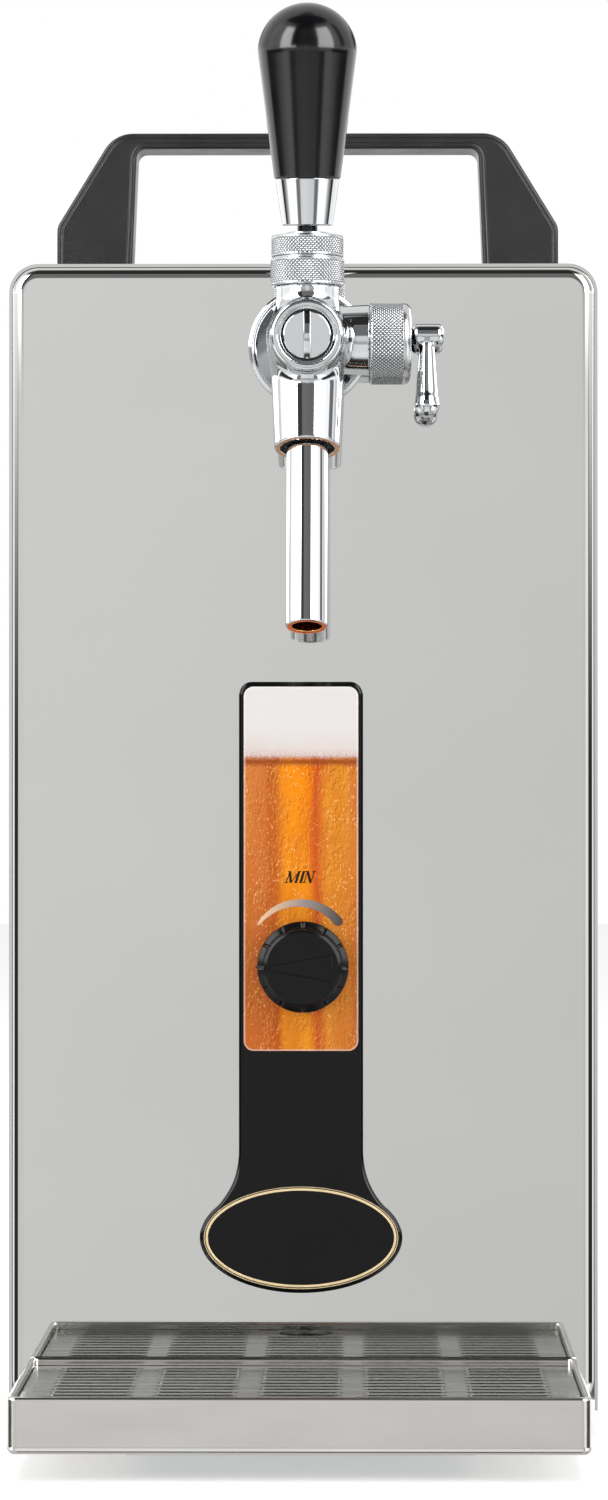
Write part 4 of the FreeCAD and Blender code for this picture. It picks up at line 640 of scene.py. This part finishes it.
dial = {"bore": 9.5, "base": 2.5, "skirt": 13.9, "step": 4.4, "rise": 5.2, "grip": 11.8, "notches": 12,
        "notchDepth": 0.6, "face": 16.8, "crown": 11.2, "point": 14.8, "pointHalf": 2.6, "pointTop": 6.2,
        "wedgeTop": 17.1, "wedge": ((-10.1, -0.7), (8.7, -4.1), (9.5, 0), (8.7, 4.1), (-10.1, 0.7))}


def makeDial(s):
    place = onPanel(0, dialHeight)
    path = roundedPath([(s["bore"], s["base"], 0), (s["skirt"] - 0.4, s["base"], 0),
                        (s["skirt"], s["base"] + 0.4, 0), (s["skirt"], s["step"], 0.5),
                        (s["grip"] + 0.5, s["rise"], 0.3),
                        (s["grip"], s["rise"] + 0.6, 0.3), (s["crown"] + 0.5, s["face"] - 0.5, 0.4),
                        (s["crown"] - 0.3, s["face"], 0.3), (0, s["face"], 0)])

    def notched(angles, height):
        # finger notches round the edge of the skirt
        wave = np.maximum(0, np.cos(angles * s["notches"]) - 0.86) / 0.14
        return s["notchDepth"] * wave * (s["step"] - 1 < height < s["rise"] + 0.4)

    knob = lathe("dialKnob", place, path, 288, notched)
    dress(knob, dialBlack, "thermostat_dial", "black_plastic", "thermostat_knob")
    tip, half, top, base = s["point"], s["pointHalf"], s["pointTop"], s["base"]
    corners = [(-tip + 0.15, 0, base), (-s["grip"] + 0.6, -half, base), (-s["grip"] + 0.6, half, base),
               (-tip + 0.3, 0, base + 1.2), (-s["grip"] + 0.4, 0, top), (-s["grip"] + 0.6, -half, base + 1.6),
               (-s["grip"] + 0.6, half, base + 1.6)]
    pointer = addMesh("dialPointer", corners, [(0, 1, 5, 3), (3, 5, 4), (3, 4, 6), (0, 3, 6, 2), (0, 2, 1),
                                               (1, 2, 6, 4, 5)], place, smooth=False)
    dress(pointer, smoothBlack, "thermostat_dial", "black_plastic")
    profile = [(0, s["face"] - 0.1), (0.1, s["wedgeTop"] - 0.1), (0.25, s["wedgeTop"])]
    wedge = stackOutline("dialWedge", s["wedge"], profile, place, capStart=False, smooth=False)
    dress(wedge, dialBlack, "thermostat_dial", "black_plastic")


# lettering over the low end of the scale: (foot, head, width) of each stroke and the places of its serifs
scaleWord = {"wide": 8.5, "tall": 3.6, "slant": 0.3, "height": 169.2, "side": -5.6, "proud": 0.12,
             "strokes": [(0.05, 0.08, 0.03), (0.22, 0.07, 0.085), (0.22, 0.4, 0.03), (0.4, 0.4, 0.09),
                         (0.57, 0.57, 0.09), (0.7, 0.7, 0.03), (0.93, 0.7, 0.09), (0.94, 0.94, 0.03)],
             "feet": [0.05, 0.4, 0.57, 0.7], "heads": [0.06, 0.41, 0.57, 0.68, 0.94], "serif": 0.055}


def makeScaleWord(s):
    # the usual word for a dial's low end, screened in dark ink as slanted strokes
    wide, tall, serif = s["wide"], s["tall"], s["serif"]
    bars = [((foot - w / 2, 0), (foot + w / 2, 0), (head + w / 2, 1), (head - w / 2, 1))
            for foot, head, w in s["strokes"]]
    for places, low in ((s["feet"], 0), (s["heads"], 0.92)):
        bars += [((x - serif, low), (x + serif, low), (x + serif, low + 0.08), (x - serif, low + 0.08))
                 for x in places]
    points, faces = [], []
    for k, bar in enumerate(bars):
        faces.append([len(points) + i for i in range(4)])
        points += [(x * wide + y * tall * s["slant"], y * tall, 0.002 * k) for x, y in bar]
    place = onPanel(s["side"], s["height"], label["thick"] + s["proud"])
    word = addMesh("scaleWord", points, faces, place, smooth=False)
    return dress(word, darkInk, "casing", "window_print")


makeLabelPlate(label)
makeWindow(window)
for ring in rings:
    makeRing(ring)
makeDialScale(dialScale)
makeDial(dial)
makeScaleWord(scaleWord)
print("label plate made")

# carry handle

grip = {"half": 83, "leg": 24.3, "shoulder": 25.5, "slope": 19, "rise": 56.5, "bar": 5.2, "lean": 2.2,
        "depth": 20, "edge": 1.1, "crease": 1.5, "creaseDepth": 0.22, "shoulderRound": 6, "topRound": 11,
        "underRound": 3}


def makeGrip(s):
    # a bridge with leaning flanks; its edges are rounded and a fine moulded crease runs inside them
    low, high = nodeBox("carry_handle")
    half, inner, under = s["half"], s["half"] - s["leg"], s["rise"] - s["bar"]
    right = [(inner - s["lean"], under, s["underRound"]), (inner, 0, 0), (half, 0, 0),
             (half, s["shoulder"], s["shoulderRound"]), (half - s["slope"], s["rise"], s["topRound"])]
    left = [(-x, y, r) for x, y, r in reversed(right)]
    corners = right[1:] + left + right[:1]
    outline = roundedPath(corners, closed=True, steps=10, guard=widestGuard)
    edge, crease, deep, far = s["edge"], s["crease"], s["creaseDepth"], s["depth"] / 2
    front = roundedPath([(0, 0, 0), (0, far, edge), (crease, far, 0)])
    front += [(crease + 0.15, far - deep), (crease + 0.5, far - deep), (crease + 0.65, far)]
    profile = [(d, -h) for d, h in front[:0:-1]] + front[1:]
    place = placeAt((0, (low.y + high.y) / 2, low.z), (0, -1, 0))
    bridge = stackOutline("carryGrip", outline, profile, place)
    return dress(bridge, handleBlack, "casing", "black_plastic", "carry_handle")


makeGrip(grip)
print("carry handle made")

# tap

knurl = {"teeth": 58, "depth": 0.34, "groove": 0.5}


def knurledNut(name, place, corners, band, radius, step=8):
    # diamond knurling: two sets of V grooves at 45 degrees, left and right handed
    teeth, depth = knurl["teeth"], knurl["depth"]
    pitch = 2 * math.pi * radius / teeth
    path = roundedPath(corners)
    path = [p for p in path if not (band[0] < p.y < band[1] and p.x > radius - 0.3)]
    split = max(i for i, p in enumerate(path) if p.y <= band[0] and p.x > radius - 2.2) + 1
    heights = [*np.arange(band[0], band[1] - 0.02, pitch / step), band[1]]
    profile = path[:split] + [(radius, h) for h in heights] + path[split:]

    def relief(angles, height):
        if not band[0] < height < band[1]:
            return 0 * angles
        u = angles / (2 * math.pi) * teeth
        v = (height - band[0]) / pitch
        left = np.abs((u + v) % 1 - 0.5) * 2
        right = np.abs((u - v) % 1 - 0.5) * 2
        return depth * np.maximum(0, 1 - np.minimum(left, right) / knurl["groove"])

    nut = lathe(name, place, profile, teeth * step, relief)
    # how deep each vertex sits in a groove, which the knurl finish turns into painted shade
    back, sunk = place.inverted(), []
    for vertex in nut.data.vertices:
        local = back @ (vertex.co * 1000)
        cut = radius - math.hypot(local.x, local.y)
        sunk.append(cut / depth if band[0] < local.z < band[1] and cut < depth * 1.01 else 0)
    mark(nut, "groove", sunk)
    return nut


bonnet = {"bore": 7.2, "radius": 11, "low": 15.5, "high": 23.5, "spigot": 10, "top": 24.2}
lockRing = {"bore": 5.4, "radius": 10.75, "low": 24.2, "high": 30.5, "lip": 6.5, "lipTop": 31.35}
sideNut = {"bore": 3.6, "radius": 11.15, "low": 18.7, "high": 31.2, "round": 2.2}


def makeNuts():
    b = bonnet
    nut = knurledNut("bonnetNut", leverFoot, [
        (b["bore"], b["low"], 0), (b["radius"], b["low"], 0.35), (b["radius"], b["high"], 0.35),
        (b["spigot"], b["high"], 0.1), (b["spigot"], b["top"], 0.2), (b["bore"], b["top"], 0.3),
        (b["bore"], b["low"], 0)], (b["low"] + 0.7, b["high"] - 0.7), b["radius"])
    dress(nut, knurledChrome, "casing", "chrome", "bonnet_nut")
    c = lockRing
    nut = knurledNut("lockCollar", leverFoot, [
        (c["bore"] + 0.6, c["low"], 0), (c["radius"], c["low"], 0.3), (c["radius"], c["high"], 0.6),
        (c["lip"], c["high"], 0.15), (c["lip"], c["lipTop"], 0.2), (c["bore"], c["lipTop"], 0.2),
        (c["bore"], c["high"], 0), (c["bore"] + 0.6, c["high"] - 0.6, 0), (c["bore"] + 0.6, c["low"], 0)],
        (c["low"] + 0.6, c["high"] - 0.9), c["radius"])
    dress(nut, knurledChrome, "casing", "chrome", "lock_collar")
    s = sideNut
    nut = knurledNut("compensatorNut", branch, [
        (s["bore"], s["low"], 0), (s["radius"], s["low"], 0.3), (s["radius"], s["high"], s["round"]),
        (s["bore"], s["high"], 0)], (s["low"] + 0.6, s["high"] - s["round"] - 0.3), s["radius"])
    dress(nut, knurledChrome, "casing", "chrome", "compensator_nut")


makeNuts()

rosette = {"bore": 8, "rim": 18.3, "rimTop": 2.4, "rise": 4, "lipOut": 17.5, "lipIn": 16.8, "dish": 16.3,
           "dishTop": 3.1, "floor": 1.7}


def makeRosette(s):
    path = roundedPath([(s["bore"], 0.02, 0), (s["rim"], 0.02, 0.2), (s["rim"], s["rimTop"], 1.2),
                        (s["lipOut"], s["rise"], 0.5), (s["lipIn"], s["rise"], 0.4),
                        (s["dish"], s["dishTop"], 0.4), (s["bore"] + 1.5, s["floor"], 0),
                        (s["bore"], s["floor"], 0)])
    return dress(lathe("rosetteDisc", barrel, path, 192), chrome, "casing", "chrome", "rosette")


makeRosette(rosette)

body = {"barrel": 10.7, "front": 48, "neck": 9.5, "neckTop": 15.5, "branch": 10.75, "branchEnd": 18.7,
        "socketTop": 11.6, "socketMouth": 9.8, "mouth": 35.1, "boss": 11.15, "blend": 3.2, "cell": 0.42,
        "seat": 8.6, "seatDepth": 3.6, "collar": 7.78, "recess": 8.1, "recessDepth": 2.5, "hollow": 8.4,
        "halfWidth": 13, "drop": 42}


def bodyField(points):
    # barrel with a raised front boss, lever neck, compensator branch and spout socket in one casting
    b = body
    form = roundBar(points, barrel, 2.5, b["front"] - 4, b["barrel"], b["barrel"], 0.5)
    neck = roundBar(points, leverFoot, -2, b["neckTop"], b["neck"], b["neck"], 0.3)
    side = roundBar(points, branch, -2, b["branchEnd"], b["branch"] - 1.0, b["branch"] - 0.05, 0.4)
    socket = roundBar(points, spoutAxis, -3, b["mouth"], b["socketTop"], b["socketMouth"], 0.35)
    boss = roundBar(points, barrel, b["front"] - 9, b["front"], b["boss"], b["boss"] - 0.5, 0.9)
    form = smoothUnion(form, socket, b["blend"] * 1.6)
    form = smoothUnion(form, neck, b["blend"])
    form = smoothUnion(form, side, b["blend"] * 0.8)
    form = smoothUnion(form, boss, 1.4)
    seat = roundBar(points, barrel, b["front"] - b["seatDepth"], b["front"] + 4, b["seat"], b["seat"], 0.2)
    bore = roundBar(points, spoutAxis, b["mouth"] - b["recessDepth"], b["mouth"] + 4, b["recess"],
                    b["recess"], 0.2)
    hollow = roundBar(points, leverFoot, b["neckTop"] - 3, b["neckTop"] + 4, b["hollow"], b["hollow"], 0.2)
    return np.maximum(np.maximum(form, -seat), np.maximum(-bore, -hollow))


def makeTapBody(s):
    low = (tapSide - s["halfWidth"], panelFace - s["front"] - 1, tapHeight - s["drop"])
    high = (tapSide + s["branchEnd"] + 1, panelFace - 1, tapHeight + s["neckTop"] + 1)
    casting = castSkin("tapCasting", bodyField, low, high, s["cell"])
    dress(casting, chrome, "casing", "chrome", "tap_body")
    recess, mouth, outer = s["recess"] + 0.05, s["mouth"], s["socketMouth"] - 0.35
    path = roundedPath([(recess, mouth - s["recessDepth"] + 0.1, 0), (recess, mouth + 0.03, 0.4),
                        (outer, mouth + 0.03, 0.15), (outer, mouth - 0.3, 0)])
    dress(lathe("mouthLip", spoutAxis, path, 128), bareBrass, "casing", "brass")
    collar, seat, front = s["collar"], s["seat"] + 0.1, s["front"]
    path = roundedPath([(collar, front - 1.6, 0), (collar, front - 0.5, 0.15), (seat, front - 0.3, 0.1),
                        (seat, front - 1.6, 0)])
    dress(lathe("seatCollar", barrel, path, 160), chrome, "casing", "chrome")


makeTapBody(body)

plug = {"radius": 7.12, "bevel": 0.36, "slot": 1.6, "slotDepth": 0.12, "proud": 0.2, "gasket": 0.9}


def makePlug(s):
    # slotted brass plug, as two halves on a floor, in a rubber ring
    radius, half, bevel = s["radius"], s["slot"] / 2, s["bevel"]
    front = body["front"] + s["proud"]
    reach = math.acos(half / radius)
    profile = [(0, front - bevel - 0.6), (0, front - bevel), (bevel * 0.3, front - 0.1), (bevel, front)]
    for side, turn in (("Right", 0), ("Left", math.pi)):
        outline = [(radius * math.cos(a + turn), radius * math.sin(a + turn))
                   for a in np.linspace(-reach, reach, 61)]
        face = stackOutline("plugHalf" + side, outline, profile, barrel, capStart=False)
        dress(face, chrome, "casing", "chrome", "front_plug")
    level = front - s["slotDepth"]
    floor = lathe("plugFloor", barrel, [(radius - 0.02, level - 1), (radius - 0.02, level), (0, level)], 96)
    dress(floor, chrome, "casing", "chrome")
    level, outer, inner = body["front"] - s["gasket"], body["collar"] + 0.1, radius - 0.06
    gasket = lathe("plugGasket", barrel, [(outer, level - 0.5), (outer, level), (inner, level),
                                          (inner, level - 0.5)], 96)
    dress(gasket, rubber, "casing", "rubber", "plug_seal")


makePlug(plug)
print("tap casting made")

spout = {"outer": 6.25, "bore": 4.4, "tail": 6, "start": 24, "shoulder": 35.6, "end": 91.5, "wall": 0.5}


def makeSpout(s):
    outer, tail, end, wall = s["outer"], s["tail"], s["end"] - 0.05, s["wall"]
    shoulder = s["shoulder"]
    path = roundedPath([(tail, s["start"], 0), (tail, shoulder, 0.05), (outer, shoulder, 0.1),
                        (outer, end, wall), (outer - wall, end, 0)])
    dress(lathe("spoutTube", spoutAxis, path, 128), chrome, "casing", "chrome", "spout")
    path = roundedPath([(outer - wall - 0.05, end, 0), (s["bore"], end, wall),
                        (s["bore"], s["start"], 0)])
    dress(lathe("spoutBore", spoutAxis, path, 128), bareBrass, "casing", "brass")


makeSpout(spout)

ferrule = {"bore": 3.05, "foot": 6.15, "low": 7.2, "waist": 7.65, "waistAt": 6.6, "top": 9.65, "high": 20.2}
handle = {"bore": 3.2, "start": 20.2, "foot": 9.95, "widest": 14.85, "length": 52.2}


def makeHandle():
    f = ferrule
    path = roundedPath([(f["bore"], f["foot"], 0), (f["low"], f["foot"], 0.15),
                        (f["waist"], f["waistAt"], 0.2), (f["top"], f["high"] - 0.05, 0.15),
                        (f["bore"], f["high"] - 0.05, 0)])
    dress(lathe("ferruleCone", handleAxis, path, 160), chrome, "tap_handle", "chrome", "ferrule")
    h = handle
    domeStart = Vector((h["widest"], h["start"] + h["length"] - h["widest"]))
    foot = Vector((h["foot"], h["start"] + 0.35))
    chord = domeStart - foot
    flank = [foot + chord * t for t in (0, 0.01, 0.25, 0.5, 0.75, 0.98, 0.992)]   # straight up to a crease
    dome = [Vector((h["widest"] * math.cos(a), domeStart.y + h["widest"] * math.sin(a)))
            for a in np.linspace(0.02, math.pi / 2, 40)]
    profile = ([(h["bore"], h["start"]), (h["foot"] - 0.35, h["start"]), (h["foot"] - 0.1, h["start"] + 0.12)]
               + flank + dome[:-1] + [(0, h["start"] + h["length"])])
    knob = lathe("handleKnob", handleAxis, profile, 192)
    dress(knob, glossPhenolic, "tap_handle", "black_gloss", "handle_knob")


makeHandle()

sideLever = {"lean": 17, "throw": 1.65, "hub": 3.4, "hubStart": 31.4, "hubEnd": 39, "cap": 2.1,
             "armAt": 35.9, "armStart": 2.0, "armEnd": 3.4, "armLength": 21.6, "ball": 3.75, "ballAt": 22.65,
             "cell": 0.2}
hang = Matrix.Rotation(math.radians(-sideLever["lean"]), 3, "X") @ Vector((0, 0, -1))
leverTurn = placeAt(branch.translation - hang * sideLever["throw"], (1, 0, 0), hang)


def leverField(points):
    s = sideLever
    hub = roundBar(points, leverTurn, s["hubStart"], s["hubEnd"] + s["cap"], s["hub"], s["hub"], 2.0)
    arm = placeAt(leverTurn @ Vector((0, 0, s["armAt"])), leverTurn.to_3x3() @ Vector((1, 0, 0)),
                  Vector((1, 0, 0)))
    shaft = roundBar(points, arm, 0, s["armLength"], s["armStart"], s["armEnd"], 1.0)
    centre = np.array(arm @ Vector((0, 0, s["ballAt"])))
    ball = np.linalg.norm(points - centre, axis=1) - s["ball"]
    return smoothUnion(smoothUnion(hub, shaft, 1.2), ball, 1.0)


def makeSideLever(s):
    low, high = nodeBox("compensator_lever")
    edge = Vector((1, 1, 1))
    low = Vector((tapSide + s["hubStart"], low.y, low.z)) - edge
    lever = castSkin("compensatorLever", leverField, low, high + edge, s["cell"])
    return dress(lever, chrome, "compensator", "chrome", "compensator_lever")


makeSideLever(sideLever)
print("tap made")

# drip tray

tray = {"corner": 3, "foot": 2.5, "gauge": 1, "rim": 2, "rimDrop": 2.4}


def makeTray(s):
    low, high = nodeBox("drip_tray")
    place = placeAt(((low.x + high.x) / 2, (low.y + high.y) / 2, low.z), (0, 0, 1))
    outline = roundedBox((high.x - low.x) / 2, (high.y - low.y) / 2, s["corner"], 10)
    top = high.z - low.z
    rim, gauge = s["rim"], s["gauge"]
    path = roundedPath([(s["foot"] + 0.1, 0, 0), (0, 0, s["foot"] - 0.3), (0, top, rim * 0.49),
                        (rim, top, rim * 0.49), (rim, top - s["rimDrop"], 0.3),
                        (gauge, top - s["rimDrop"] - 0.6, 0.3), (gauge, gauge, 1.2),
                        (s["foot"] + 0.4, gauge, 0)], steps=8)
    pan = stackOutline("trayPan", outline, path, place)
    return dress(pan, trayPolish, "tray", "tray_steel", "drip_tray")


makeTray(tray)
print("drip tray made")

# CAD nodes that keep their shape

keptFinishes = {
    coverSteel: ["outer_cover"],
    brushedSteel: ["rear_panel", "drip_grid"],
    zincSheet: ["base_plate", "tray_support", "cooling_block"],
    # the lever stem's near-black colour is painted shade
    stemShadeSteel: ["lever_stem"],
    chrome: ["shank_nut", "thermostat_nut", "tap_piston"],
    zincScrew: ["case_screws", "handle_screws", "thermostat_shaft"],
    mouldedBlack: ["fan_frame", "fan_rotor", "mains_inlet", "power_switch", "pump_switch",
                   "air_pump", "beer_inlet", "air_outlet"],
    smoothBlack: ["thermostat", "power_rocker", "pump_rocker"],
    rubber: ["feet", "spout_seal", "lever_seal", "compressor_mounts", "air_hose"],
    copperTube: ["refrigerant_lines", "filter_drier"],
    castAluminium: ["condenser"],
    foamGrey: ["insulation"],
    blackEnamel: ["compressor"],
    acetal: ["beer_collet", "air_collet", "compensator_cone"],
    clearHose: ["beer_line"],
    guardWire: ["fan_guard"],
}
for finishOfNodes, names in keptFinishes.items():
    for name in names:
        if not nodes[name].data.materials:
            nodes[name].data.materials.append(finishOfNodes)
        for spot in nodes[name].material_slots:
            spot.material = finishOfNodes
print("kept nodes finished")

# studio

studio = {"cameraAt": (0.0177, -1.75675, 0.199), "aimAt": (0.0003, -0.10675, 0.2097), "lens": 129.8,
          "sensor": 36, "floor": "#f4f4f3", "floorSize": 6000, "floorGlow": 0.34, "roomLight": 0.62,
          "lampWatts": 22, "lampsAimAt": (0, 0, 0.2), "fall": 0.045}
# (name, place, size) in metres
lamps = [("leftBox", (-1.9, -1.3, 0.9), (1.0, 1.6)), ("rightBox", (1.9, -1.2, 0.9), (1.0, 1.6)),
         ("topBox", (0, 0.2, 2.2), (1.6, 1.6))]

# what polished metal sees: (side, first and last bearing from the front, lowest and highest angle above
# the table, blur, brightness), in degrees; a later card covers an earlier one
cards = [
    ("both", 0, 180, -90, -44, 6, 0.75),      # floor
    ("both", 0, 95, 58, 90, 4, 0.06),         # dark ceiling above and in front
    ("both", 95, 180, 80, 90, 3, 0.3),
    ("both", 44, 84, -42, -9, 4, 1.9),        # low white reflectors at the sides
    ("both", 84, 104, -42, -9, 3, 1.3),
    ("both", 104, 134, -42, -9, 4, 1.05),
    ("right", 141, 166, -50, 20, 3, 0.12),
    ("left", 150, 168, -50, 20, 3, 0.4),
    ("both", 27, 42, -44, -9, 2.5, 0.28),     # gaps beside them
    ("both", 0, 30, -19, -8, 2, 0.6),         # room behind the camera
    ("both", 0, 27, 5, 13, 1.5, 0.5),
    ("both", 0, 27, -40, -19, 3, 1.15),       # pale floor before the object
    ("both", 0, 33, -62, -40, 3, 1.2),
    ("both", 0, 40, -90, -68, 4, 0.08),
    ("both", 88, 180, -9, 9, 3, 1.5),         # white walls beside and behind
    ("both", 60, 110, -11, 5, 3, 0.04),       # dark cards beside the casing
    ("right", 30, 56, -9, 5, 3, 1.35),
    ("both", 26, 66, 6, 50, 2, 9),            # soft boxes
    ("both", 66, 104, 4, 50, 4, 1.6),
    ("right", 84, 100, 10, 50, 2, 0.25),
    ("both", 0, 27, 11, 46, 2, 0.22),         # dim, then dark, above the camera
    ("left", 20, 38, 9, 60, 2, 0.06),
    ("both", 0, 27, 46, 86, 2, 0.035),
    ("both", 0, 7, -8.5, 8.5, 1.2, 0.96),     # pale card round the lens
]


def windowed(tree, value, low, high, soft):
    # 1 between low and high, falling to 0 over soft
    rise = spread(tree, value, low - soft, low + soft, interpolation_type="SMOOTHSTEP")
    fall = spread(tree, value, high - soft, high + soft, 1, 0, interpolation_type="SMOOTHSTEP")
    return maths(tree, "MULTIPLY", rise, fall)


def makeRoom(s):
    # white for the camera, an even soft light on the object, and the cards for reflections
    world = bpy.data.worlds.new("studioRoom")
    bpy.context.scene.world = world
    world.use_nodes = True
    tree = world.node_tree
    tree.nodes.clear()
    way = addNode(tree, "TexCoord", out=0)
    parts = [addNode(tree, "SeparateXYZ", {0: way}, k) for k in range(3)]
    right = maths(tree, "ARCTAN2", parts[0], maths(tree, "MULTIPLY", parts[1], -1))
    bearing = {"right": right, "left": maths(tree, "MULTIPLY", right, -1),
               "both": maths(tree, "ABSOLUTE", right)}
    lift = maths(tree, "ARCSINE", parts[2])
    level = spread(tree, lift, -0.5, 0.5, 0.85, 1.0)
    deg = math.radians(1)
    for side, near, far, low, high, soft, strength in cards:
        near = near - 9 * (near == 0)
        far = far + 9 * (far == 180)
        across = windowed(tree, bearing[side], near * deg, far * deg, soft * deg)
        upright = windowed(tree, lift, low * deg - (low == -90), high * deg + (high == 90), soft * deg)
        level = addNode(tree, "Mix", {0: maths(tree, "MULTIPLY", across, upright), 2: level, 3: strength}, 0)
    for part, reach, change in ((parts[0], 0.06, -s["fall"]), (parts[2], 0.12, s["fall"])):
        level = maths(tree, "MULTIPLY", level, spread(tree, part, -reach, reach, 1 - change, 1 + change))
    glossy = addNode(tree, "LightPath", out=3)
    camera = addNode(tree, "LightPath", out=0)
    plain = addNode(tree, "Mix", {0: glossy, 2: s["roomLight"], 3: level}, 0)
    seen = addNode(tree, "Mix", {0: camera, 2: plain, 3: 1.0}, 0)
    background = addNode(tree, "Background", {"Color": hexColour("#ffffff"), "Strength": seen})
    addNode(tree, "OutputWorld", {0: background})


def makeFloor(s):
    # pale floor: white to the camera, with the object's shadow, and clear to reflections
    size = s["floorSize"]
    plate = addMesh("studioFloor", [(-size, -size, 0), (size, -size, 0), (size, size, 0), (-size, size, 0)],
                    [(0, 1, 2, 3)], smooth=False)
    material = bpy.data.materials.new("paleFloor")
    material.use_nodes = True
    tree = material.node_tree
    tree.nodes.clear()
    camera = addNode(tree, "LightPath", out=0)
    glossy = addNode(tree, "LightPath", out=3)
    matt = addNode(tree, "BsdfDiffuse", {"Color": hexColour(s["floor"])})
    glow = addNode(tree, "Emission", {"Color": hexColour("#ffffff"),
                                      "Strength": maths(tree, "MULTIPLY", camera, s["floorGlow"])})
    lit = addNode(tree, "AddShader", {0: matt, 1: glow})
    clear = addNode(tree, "BsdfTransparent")
    addNode(tree, "OutputMaterial", {0: addNode(tree, "MixShader", {0: glossy, 1: lit, 2: clear})})
    plate.data.materials.append(material)


def addLamp(name, place, size):
    light = bpy.data.lights.new(name, "AREA")
    light.shape = "RECTANGLE"
    light.size, light.size_y = size
    light.energy = studio["lampWatts"]
    lamp = bpy.data.objects.new(name, light)
    lamp.location = place
    lamp.rotation_euler = (Vector(studio["lampsAimAt"]) - lamp.location).to_track_quat("-Z", "Y").to_euler()
    lamp.visible_glossy = False
    bpy.context.scene.collection.objects.link(lamp)


def makeCamera(s):
    data = bpy.data.cameras.new("studioCamera")
    data.lens = s["lens"]
    data.sensor_width = s["sensor"]
    data.sensor_fit = "AUTO"
    camera = bpy.data.objects.new("studioCamera", data)
    camera.location = s["cameraAt"]
    way = Vector(s["aimAt"]) - Vector(s["cameraAt"])
    camera.rotation_euler = way.to_track_quat("-Z", "Y").to_euler()
    bpy.context.scene.collection.objects.link(camera)
    bpy.context.scene.camera = camera


makeRoom(studio)
makeFloor(studio)
makeCamera(studio)
for lamp in lamps:
    addLamp(*lamp)
bpy.context.scene.view_settings.view_transform = "Standard"
print("studio made")
